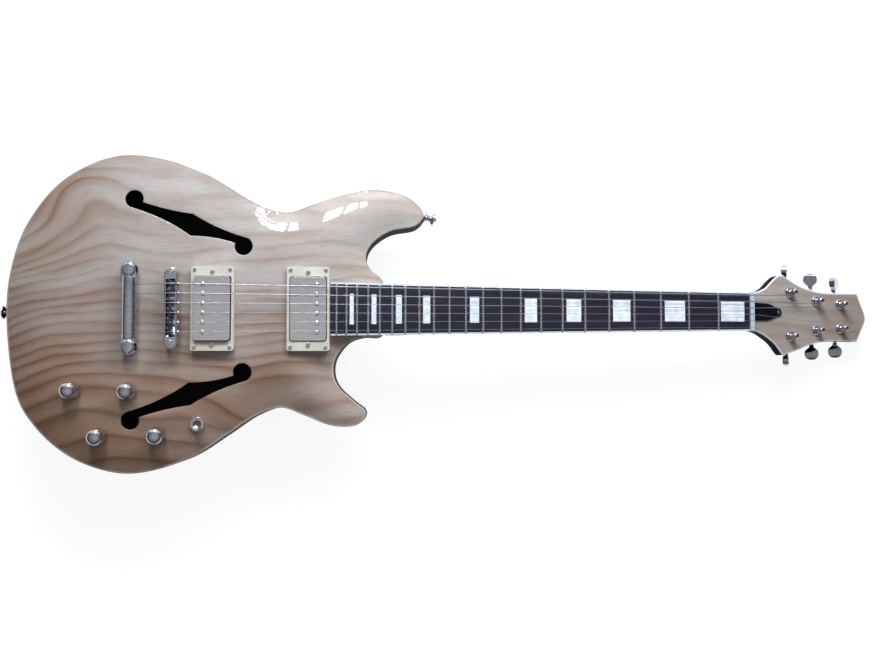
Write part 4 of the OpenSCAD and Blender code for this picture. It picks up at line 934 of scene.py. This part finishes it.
def head_point(s, y, h):
    """A place in the headstock's frame as a place in the part's frame."""
    c, n = math.cos(HEAD_TILT), math.sin(HEAD_TILT)
    return neck_point(NUT_BACK + s * c + h * n, y, HEAD_LEVEL - s * n + h * c)


print("the nut is at", np.round(neck_point(SCALE, 0, 0), 1), "mm")

# %% Neck
HEEL_FACE, TENON, DEPTH_HEEL, DEPTH_NUT = 227.9, 38, 17, 14
heel = HEEL_FACE / math.cos(NECK_TILT)
# place along the neck, half width, depth, squareness of the section, height of its flat top
SECTIONS = [
    (heel, board_half(heel), TENON - 4, 0.55, BOARD_BASE),
    (heel + 8, board_half(heel), TENON - 9, 0.6, BOARD_BASE),
    (heel + 18, board_half(heel), DEPTH_HEEL + 6, 0.7, BOARD_BASE),
    (262, board_half(262), DEPTH_HEEL, 0.8, BOARD_BASE),
    (445, board_half(445), (DEPTH_HEEL + DEPTH_NUT) / 2, 0.85, BOARD_BASE),
    (SCALE - 25, board_half(SCALE - 25), DEPTH_NUT, 0.85, BOARD_BASE),
    (SCALE - 8, NUT_HALF, DEPTH_NUT + 1.5, 0.8, BOARD_BASE),
    (NUT_BACK + 3, NUT_HALF, DEPTH_NUT + 3, 0.75, BOARD_BASE - 0.4),
    (NUT_BACK + 14, NUT_HALF, 13.6, 0.75, BOARD_BASE - 2.6),
    (NUT_BACK + 27, NUT_HALF - 2, 10.4, 0.75, BOARD_BASE - 5.6)]
SECTION_STEPS, ROUND_POINTS = 8, 33
rings = []
for row, (d, half, depth, power, flat_top) in enumerate(curve_through(SECTIONS, SECTION_STEPS, closed=False)):
    lean = math.tan(NECK_TILT) if row == 0 else 0
    ring = []
    for a in np.linspace(0, math.pi, ROUND_POINTS):
        c, s = math.cos(a), math.sin(a)
        h = flat_top - depth * abs(s) ** power
        ring.append(neck_point(d - h * lean, half * math.copysign(abs(c) ** power, c), h))
    rings.append(ring)
piece("lacquered_neck", joined(rings), skin(rings) + ends(rings)[:1], "black_lacquer", ["neck"])
print("neck:", len(rings), "sections")

# %% [markdown]
# The headstock
#
# The headstock is a black core with a pale trim round its face and a thin leaf of the top's ash
# glued on. Its outline is three smooth curves that meet in two sharp corners at the tip; one closed
# curve would round those off. Core and trim are skins of that outline, and the leaf is a flat sheet.

# %% Headstock outline
BASS_EDGE = [(0, 21), (9, 22.8), (18, 27.2), (27, 35.5), (35, 41), (43, 40), (61, 30.5), (80, 25.2), (100, 23),
             (139, 23.7)]
TIP_EDGE = [(139, 23.7), (144, 12), (150, -5), (143, -21), (137.5, -31.7)]
TREBLE_EDGE = [(137.5, -31.7), (118, -31.4), (97, -32), (79, -34.7), (61, -40.6), (42, -47), (37, -46),
               (28, -35.5), (17, -27.7), (8, -23), (0, -21)]
FACE_GAP, HEAD_STEPS = 0.8, 6
bass, tip, treble = (curve_through(edge, HEAD_STEPS, closed=False)
                     for edge in (BASS_EDGE, TIP_EDGE, TREBLE_EDGE))
head = np.concatenate([bass[:-1], tip[:-1], treble])
head[:, 0] = np.maximum(head[:, 0], FACE_GAP)
print("headstock:", len(head), "points round,", np.ptp(head, 0).round(1), "mm")

# %% Headstock
HEAD_T, FACE_T, HEAD_BACK_ROUND, HEAD_BINDING, TRIM_ROUND = 14, 1.6, 1.5, 1.5, 0.7


def head_ring(poly, h):
    """An outline of the headstock as a ring of points at one height above its face."""
    return [head_point(x, y, h) for x, y in poly]


rings = [head_ring(head, -FACE_T)]
rings += [head_ring(inset(head, i), -HEAD_T + HEAD_BACK_ROUND - u) for i, u in quarter(HEAD_BACK_ROUND)]
faces = [q[::-1] for q in skin(rings) + ends(rings)[1:]]
piece("lacquered_headstock", joined(rings), faces, "black_lacquer")
inner = inset(head, HEAD_BINDING)
rings = [head_ring(head, -FACE_T)]
rings += [head_ring(inset(head, i), u - TRIM_ROUND) for i, u in quarter(TRIM_ROUND)]
rings += [head_ring(inner, 0)]
piece("headstock_trim", joined(rings), skin(rings), "ivory_binding", ["headstock_binding"])
print("headstock core", HEAD_T, "mm thick, trim", HEAD_BINDING, "mm wide")

# %% Headstock veneer
# The leaf's grain comes from a quiet place of the top's figure, stretched a little
VENEER_GRID, VENEER_SCALE, VENEER_FROM = 3.0, (0.8, 0.9), (200, 24)
flat, triangles, rims = sheet_between(inner, [], VENEER_GRID)
face = piece("headstock_veneer", head_ring(flat, 0), triangles, "ash", ["headstock_face"])
face.data.materials[0] = FINISH["ash_veneer"]
add_grain(face, *(flat * VENEER_SCALE + VENEER_FROM).T)
print("veneer:", len(flat), "points")

# %% [markdown]
# Frets
#
# Fret wire is a half-round bead. Each one follows the 305 mm radius of the board and its ends
# are filed to a slope over the binding. A bevelled curve would give the bead but not the filed ends,
# so each fret is a skin of half rounds from edge to edge. All 22 are one mesh, as they are in the CAD.

# %% Frets
BOARD_RADIUS, FRET_H, FRET_W, FRET_SINK, BEAD_POINTS = 305, 1.1, 2.4, 0.05, 9
# Places across the board and the height left at the filed ends, as shares
ACROSS = np.concatenate([[-1, -0.985], np.linspace(-0.965, 0.965, 15), [0.985, 1]])
FILED = {0.985: 0.75, 1.0: 0.25}
points, faces = [], []
for fret in range(1, FRETS + 1):
    d = SCALE * 2 ** (-fret / 12)
    half = board_half(d)
    rings = []
    for share in ACROSS:
        y = share * half
        sag = BOARD_RADIUS - math.sqrt(BOARD_RADIUS ** 2 - y * y)
        foot, rise = BOARD_TOP - sag - FRET_SINK, FILED.get(abs(share), 1.0) * FRET_H
        rings.append([neck_point(d + FRET_W / 2 * math.cos(a), y, foot + rise * math.sin(a))
                      for a in np.linspace(0, math.pi, BEAD_POINTS)])
    faces += skin(rings, len(points)) + ends(rings, len(points))
    points += joined(rings)
piece("fret_wires", points, faces, "fret_wire", ["frets"])
print("frets:", len(points), "points")

# %% [markdown]
# Strings
#
# Each string leaves the tailpiece, bends over its saddle, runs straight to the nut and winds up
# its post. The three thick ones are wound with wire too fine to show here, so all six share a finish.
# A curve with a round bevel is the plainest wire that Blender has, and its path is a list of places.

# %% String paths
STRING_D = [1.17, 0.91, 0.66, 0.43, 0.33, 0.25]
SADDLE_SPREAD, NUT_SPREAD, STRING_Z, SLOT_H = 50.5, 35, 71, 0.8
SADDLE_CREST, SADDLE_GAP, NUT_GAP, WIND_GAP = 1.2, 0.05, 0.025, 0.3
TAIL_X, BRIDGE_X, BAR_Z, BAR_W, BAR_REACH = -40, 4, CROWN + 9, 15, 1
# Each post's place along and across the headstock, and the way its string winds
TUNERS = [(48, 22.5, 1), (82.5, 13.7, 1), (114.5, 10.6, 1),
          (48, -26.5, -1), (82.5, -19.3, -1), (114.5, -16.8, -1)]
WAIST_R, WIND_LOW, WIND_PITCH, WIND_TURNS, WIND_STEPS = 2.4, 5.1, 1.65, 2.25, 24


def string_path(i, tuner):
    """Places from the tailpiece over saddle and nut to the end of the winding."""
    r = STRING_D[i] / 2
    saddle_y, nut_y = SADDLE_SPREAD * (0.5 - i / 5), NUT_SPREAD * (0.5 - i / 5)
    saddle_z, nut_h = STRING_Z + r + SADDLE_GAP, SLOT_H + r + NUT_GAP
    path = [(TAIL_X - BAR_REACH, saddle_y, BAR_Z), (TAIL_X + BAR_W / 2 + BAR_REACH, saddle_y, BAR_Z),
            (BRIDGE_X - SADDLE_CREST, saddle_y, saddle_z), (BRIDGE_X + SADDLE_CREST, saddle_y, saddle_z),
            neck_point(SCALE, nut_y, nut_h), neck_point(NUT_BACK, nut_y, nut_h)]
    s, y, side = TUNERS[tuner]
    wind_r = WAIST_R + r + WIND_GAP
    course = math.atan2(y - nut_y, s)
    touch = course + math.pi + side * math.acos(wind_r / math.hypot(s, y - nut_y))
    for k in range(int(WIND_TURNS * WIND_STEPS) + 1):
        a, up = touch + side * 2 * math.pi * k / WIND_STEPS, WIND_LOW + WIND_PITCH * k / WIND_STEPS
        path.append(head_point(s + wind_r * math.cos(a), y + wind_r * math.sin(a), up))
    return path


print("a string's path has", len(string_path(0, 0)), "places")

# %% Strings
POST_OF_STRING = (0, 1, 2, 5, 4, 3)
for i, tuner in enumerate(POST_OF_STRING):
    name, path = f"string_{i + 1}", string_path(i, tuner)
    curve = bpy.data.curves.new(name, "CURVE")
    curve.dimensions, curve.bevel_depth, curve.bevel_resolution = "3D", STRING_D[i] / 2 * MM, 3
    curve.use_fill_caps = True
    spline = curve.splines.new("POLY")
    spline.points.add(len(path) - 1)
    for point, p in zip(spline.points, path):
        point.co = (*(c * MM for c in p), 1)
    curve.materials.append(FINISH["string_steel"])
    dress(put(name, curve), ["strings"])
print("strings:", len(POST_OF_STRING))

# %% [markdown]
# The bridge casting
#
# The bridge is a cast trough for the saddles. Its walls are thin beads, rounded on both sides, and
# each bead shows a bright and a dark line. A bevel can't round walls this thin between so many
# holes, so the casting is a skin drawn from its plan: up the outside, over the bead, into the slot.

# %% Bridge plan
FRAME_W, FRAME_L, FRAME_H, FRAME_TOP = 14, 85, 7, STRING_Z - 3
SADDLE_ROOM_W, SADDLE_ROOM_L, SADDLE_FLOOR = 9, 60, 2
SIDE_POINTS, CAP_POINTS = 25, 21
half, room_half, room_end = FRAME_W / 2, SADDLE_ROOM_W / 2, SADDLE_ROOM_L / 2
side_y = np.linspace(-room_end, room_end, SIDE_POINTS)[1:-1]
end_y = (FRAME_L - FRAME_W) / 2
cap = np.array([(-half, room_end)] + [(half * math.cos(a), end_y + half * math.sin(a))
                                      for a in np.linspace(math.pi, 0, CAP_POINTS)] + [(half, room_end)])
side = np.stack([np.full_like(side_y, -half), side_y], 1)
room_cap = np.stack([np.linspace(-room_half, room_half, len(cap)), np.full(len(cap), room_end)], 1)
room_side = np.stack([np.full_like(side_y, -room_half), side_y], 1)
plan = np.concatenate([side, cap, -side, -cap]) + (BRIDGE_X, 0)
room_plan = np.concatenate([room_side, room_cap, -room_side, -room_cap]) + (BRIDGE_X, 0)
print("bridge:", np.ptp(plan, 0), "mm, slot", np.ptp(room_plan, 0), "mm")

# %% Bridge
BEAD_OUT, BEAD_IN, FOOT = 1.6, 0.8, 0.3
base = FRAME_TOP - FRAME_H
rings = [lifted(inset(plan, FOOT), base), lifted(plan, base + FOOT)]
rings += [lifted(inset(plan, i), FRAME_TOP - BEAD_OUT + u) for i, u in quarter(BEAD_OUT)]
rings += [lifted(inset(room_plan, -i), FRAME_TOP - BEAD_IN + u) for i, u in reversed(quarter(BEAD_IN))]
rings += [lifted(room_plan, base + SADDLE_FLOOR + FOOT), lifted(inset(room_plan, FOOT), base + SADDLE_FLOOR)]
piece("bridge_casting", joined(rings), skin(rings) + ends(rings), SLOT_OF["bridge_frame"], ["bridge_frame"])
print("bridge casting:", len(rings), "rings of", len(plan))

# %% [markdown]
# Metal and plastic parts
#
# The CAD solids of the hardware are right in size, but every edge is a knife edge. A real casting
# or moulding has a small round there, and that is where its highlights sit. Each part is a copy of
# its solid with its edges rounded by a bevel and its flats kept flat by weighted normals. Modelling
# them again by hand would be a second set of sizes to keep in step with the CAD.

# %% Rounding a solid
WELD, FLAT_ANGLE, EDGE_ANGLE = 2e-6, math.radians(0.6), math.radians(28)
BROAD, BROAD_STEPS, FINE_STEPS = 1, 3, 2


def rounded(node, slot, width, flats=True):
    """A copy of a solid with its edges rounded; flats keeps its broad faces flat to the light."""
    mesh = NODES[node].data.copy()
    mesh.name = node + "_rounded"
    cleaner = bmesh.new()
    cleaner.from_mesh(mesh)
    bmesh.ops.remove_doubles(cleaner, verts=cleaner.verts, dist=WELD)
    bmesh.ops.dissolve_limit(cleaner, angle_limit=FLAT_ANGLE, verts=cleaner.verts, edges=cleaner.edges)
    bmesh.ops.recalc_face_normals(cleaner, faces=cleaner.faces)
    cleaner.to_mesh(mesh)
    cleaner.free()
    mesh.materials.clear()
    mesh.materials.append(FINISH[slot])
    mesh.polygons.foreach_set("use_smooth", [True] * len(mesh.polygons))
    mesh.polygons.foreach_set("material_index", [0] * len(mesh.polygons))
    made = put(mesh.name, mesh)
    bevel = made.modifiers.new("edge_round", "BEVEL")
    bevel.width, bevel.segments = width * MM, BROAD_STEPS if width > BROAD else FINE_STEPS
    bevel.limit_method, bevel.angle_limit = "ANGLE", EDGE_ANGLE
    bevel.use_clamp_overlap = True
    if flats:
        made.modifiers.new("flat_faces", "WEIGHTED_NORMAL").keep_sharp = True
    return dress(made, [node], BODY_OF[node])


print("edges sharper than", round(math.degrees(EDGE_ANGLE)), "degrees get a round")

# %% Rounded copies
# The width of each part's round in mm: least on inlays and screws, most on the pressed covers
ROUNDING = {
    "tailpiece": 0.6, "tailpiece_studs": 0.4, "saddles": 0.25, "saddle_screws": 0.2,
    "bridge_posts": 0.5, "bridge_pickup_ring": 0.7, "neck_pickup_ring": 0.7, "bridge_pickup_cover": 1.4,
    "neck_pickup_cover": 1.4, "bridge_pickup_poles": 0.25, "neck_pickup_poles": 0.25, "height_screws": 0.2,
    "neck_volume_knob": 0.4, "bridge_volume_knob": 0.4, "neck_tone_knob": 0.4, "bridge_tone_knob": 0.4,
    "toggle_switch": 0.7, "toggle_lever": 0.2, "toggle_tip": 0.3, "output_jack": 0.3, "jack_plate": 0.5,
    "strap_buttons": 0.4, "tuner_housings": 0.6, "tuner_bushings": 0.25, "wood_screws": 0.2, "nut": 0.3,
    "truss_rod_cover": 0.35, "control_cover": 0.4, "inlays": 0.05}
# Turned or rolled all over, with no broad flat
TURNED = {"tailpiece", "neck_volume_knob", "bridge_volume_knob", "neck_tone_knob", "bridge_tone_knob",
          "bridge_pickup_poles", "neck_pickup_poles", "strap_buttons", "toggle_tip"}
# The saddles' darker steel is painted shade for their place in the bridge's trough
OWN_FINISH = {"toggle_tip": "white_plastic", "saddles": "painted_shade_saddle_steel"}
ROUNDING.update({f"tuner_post_{k}": 0.2 for k in range(1, 7)})
ROUNDING.update({f"tuner_key_{k}": 0.7 for k in range(1, 7)})
for node, width in ROUNDING.items():
    rounded(node, OWN_FINISH.get(node, SLOT_OF[node]), width, node not in TURNED)
print("rounded", len(ROUNDING), "parts")

# %% [markdown]
# Springs under the pickup rings
#
# Two coil springs push each pickup down from its ring, and the height screws hold it up against
# them. The upper end of a spring stays at the ring while its lower end goes with the pickup. Here
# the wire is one mesh that rides on neither body, so it keeps the shape it is drawn in.
# A rigid copy of the CAD's plain sleeve would push through the ring instead.

# %% Springs
WIRE_R, WIRE_PITCH, WIRE_SIDES, WIRE_STEPS = 0.3, 1.25, 8, 24
around = np.arange(WIRE_SIDES) * 2 * math.pi / WIRE_SIDES
for name, x in PICKUP_X.items():
    low, high = (np.array(corner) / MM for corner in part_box(name + "_pickup_springs"))
    outer_r = (high[0] - low[0]) / 2
    coil_r, bottom, rise = outer_r - WIRE_R, low[2] + WIRE_R, high[2] - low[2] - 2 * WIRE_R
    section = [(coil_r + WIRE_R * math.cos(a), WIRE_R * math.sin(a)) for a in around]
    turns = np.linspace(0, rise / WIRE_PITCH, WIRE_STEPS * round(rise / WIRE_PITCH))
    points, faces = [], []
    for y in (low[1] + outer_r, high[1] - outer_r):
        rings = []
        for t in turns:
            c, s = math.cos(2 * math.pi * t), math.sin(2 * math.pi * t)
            rings.append([(x + r * c, y + r * s, bottom + WIRE_PITCH * t + up) for r, up in section])
        faces += skin(rings, len(points)) + [q[::-1] for q in ends(rings, len(points))]
        points += joined(rings)
    spring = piece(name + "_spring_wire", points, faces, "steel", [name + "_pickup_springs"], body=None)
    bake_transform(spring)
    print(name, "springs:", round(float(turns[-1]), 1), "turns each over", round(float(rise), 1), "mm")

# %% [markdown]
# Solids that stay
#
# The fretboard and its binding are planed and straight, and the truss rod, the bushings, the coils
# and the pots are out of sight. A finer shape would show nothing new, so these solids keep their
# CAD mesh and only take the finish of their slot.

# %% Finishes on the solids that stay
for node, solid in NODES.items():
    if not solid.hide_render:
        solid.data.materials.clear()
        solid.data.materials.append(FINISH[SLOT_OF[node]])
print("kept solids:", [n for n, o in NODES.items() if not o.hide_render])

# %% [markdown]
# The floor
#
# The guitar lies on white paper. Lamps strong enough to burn the paper out to white would burn out
# the guitar too. So to the camera, to metal and to glass the paper is a plain glow with some grey in
# it that takes the shadow, and to all other light it is just white paper.

# %% Floor
FLOOR_GAP, FLOOR_HALF, PAPER_GLOW = 0.001, 8.0, 0.92
FLOOR_Z = CAD_BOX[0][2] - FLOOR_GAP
mesh = bpy.data.meshes.new("floor")
corners = [(x * FLOOR_HALF, y * FLOOR_HALF, FLOOR_Z) for x, y in ((-1, -1), (1, -1), (1, 1), (-1, 1))]
mesh.from_pydata(corners, [], [(0, 1, 2, 3)])
floor = put("floor", mesh)
print("floor at", round(FLOOR_Z / MM, 1), "mm")


# %% Paper
def seen(tree):
    """1 where the camera, metal or glass looks at the stage, 0 where the stage only gives light."""
    path = add(tree, "ShaderNodeLightPath")
    looked_at = path.outputs["Is Camera Ray"]
    for ray in ("Is Glossy Ray", "Is Transmission Ray"):
        looked_at = add(tree, "ShaderNodeMath", {"operation": "MAXIMUM"}, {
            0: looked_at, 1: path.outputs[ray]}).outputs["Value"]
    return looked_at


material = bpy.data.materials.new("white_paper_floor")
material.use_nodes = True
tree = material.node_tree
tree.nodes.clear()
paper = add(tree, "ShaderNodeBsdfDiffuse", sockets={"Color": linear("#f4f4f4")}).outputs["BSDF"]
glow = add(tree, "ShaderNodeEmission", sockets={
    "Color": (1, 1, 1, 1), "Strength": PAPER_GLOW}).outputs["Emission"]
shade = add(tree, "ShaderNodeBsdfDiffuse", sockets={"Color": linear("#7a7a7a")}).outputs["BSDF"]
shaded = add(tree, "ShaderNodeAddShader", sockets={0: shade, 1: glow}).outputs["Shader"]
mixed = add(tree, "ShaderNodeMixShader", sockets={"Fac": seen(tree), 1: paper, 2: shaded}).outputs["Shader"]
add(tree, "ShaderNodeOutputMaterial", sockets={"Surface": mixed})
floor.data.materials.append(material)
print("made", material.name)

# %% [markdown]
# The room
#
# Gloss and metal show the room round them: white near the horizon, a darker wall above it, a grey
# ceiling, and the bright side where the window is. A picture of a room could be wrapped round the
# scene, but a ramp over the height gives the same to the eye with nothing to load. The room is
# there to be mirrored; the light it gives is weak, even and a little warm.

# %% Room
WINDOW_SIDE = (0.42, 0.68)
ROOM_LIGHT, ROOM_TINT = 0.14, (1.0, 0.95, 0.9, 1)
world = bpy.data.worlds.new("plain_room")
bpy.context.scene.world = world
world.use_nodes = True
tree = world.node_tree
tree.nodes.clear()
way = add(tree, "ShaderNodeTexCoord").outputs["Generated"]
way = add(tree, "ShaderNodeSeparateXYZ", sockets={"Vector": way})
walls = add(tree, "ShaderNodeValToRGB", {"stops": [
    (0.0, (1, 1, 1, 1)), (0.1, (0.9, 0.9, 0.9, 1)), (0.22, (0.07, 0.07, 0.08, 1)), (0.62, (0.1, 0.1, 0.11, 1)),
    (0.88, (0.3, 0.3, 0.31, 1)), (0.96, (0.42, 0.42, 0.43, 1)), (1.0, (0.46, 0.46, 0.47, 1))]},
    {"Fac": way.outputs["Z"]}).outputs["Color"]
lit = add(tree, "ShaderNodeMapRange", sockets={
    "Value": way.outputs["Y"], "From Min": WINDOW_SIDE[0], "From Max": WINDOW_SIDE[1]}).outputs["Result"]
room = add(tree, "ShaderNodeMix", {"data_type": "RGBA"}, {"Factor": lit, 6: walls, 7: (1, 1, 1, 1)}).outputs[2]
shown = add(tree, "ShaderNodeBackground", sockets={"Color": room, "Strength": 1.0}).outputs["Background"]
soft = add(tree, "ShaderNodeBackground", sockets={
    "Color": ROOM_TINT, "Strength": ROOM_LIGHT}).outputs["Background"]
mixed = add(tree, "ShaderNodeMixShader", sockets={"Fac": seen(tree), 1: soft, 2: shown}).outputs["Shader"]
add(tree, "ShaderNodeOutputWorld", sockets={"Surface": mixed})
print("made", world.name, "with", len(tree.nodes), "nodes")

# %% [markdown]
# The window
#
# Soft daylight comes in from the bass side, so the knobs throw soft shadows towards the treble side
# and the lacquer shows the panes. One large lamp would light as softly, but its mirror image would
# be one plain patch. So three small lamps are the panes, a wide one gives most of the light, and a
# low one that no gloss shows brightens the neck.

# %% Window light
PANE_W, PANE_H, PANE_STEP, PANE_WATTS = 0.08, 0.2, 0.11, 1.0
WINDOW_AT = Vector((-0.04, 1.0, 1.35))
WINDOW_AIM = Vector((0.15, 0.10, 0.05))


def lamp(name, place, aim, width, height, watts, colour, mirrored):
    """A rectangular lamp; mirrored says whether gloss and metal show it."""
    light = bpy.data.lights.new(name, "AREA")
    light.shape, light.size, light.size_y, light.energy = "RECTANGLE", width, height, watts
    light.color = colour
    made = put(name, light)
    made.location = place
    made.rotation_euler = (aim - place).to_track_quat("-Z", "Y").to_euler()
    made.visible_glossy = mirrored


for k in (-1, 0, 1):
    step = Vector((k * PANE_STEP, 0, 0))
    lamp(f"pane_{k + 2}", WINDOW_AT + step, WINDOW_AIM + step, PANE_W, PANE_H, PANE_WATTS, (1, 1, 1), True)
DAYLIGHT = (0.88, 0.98, 1.1)
lamp("window_light", Vector((-0.02, 1.5, 1.1)), Vector((0.05, 0.0, 0.05)), 0.5, 0.4, 19.5, DAYLIGHT, True)
lamp("window_glow", Vector((0.45, 0.5, 0.42)), Vector((0.2, 0.0, 0.0)), 0.6, 0.3, 5.8, DAYLIGHT, False)
print("window: 3 panes, their light and their glow")

# %% [markdown]
# The end
#
# The dressed guitar has to be as large as the CAD part. The last line brings the view layer up to date.

# %% The end
bpy.context.view_layer.update()
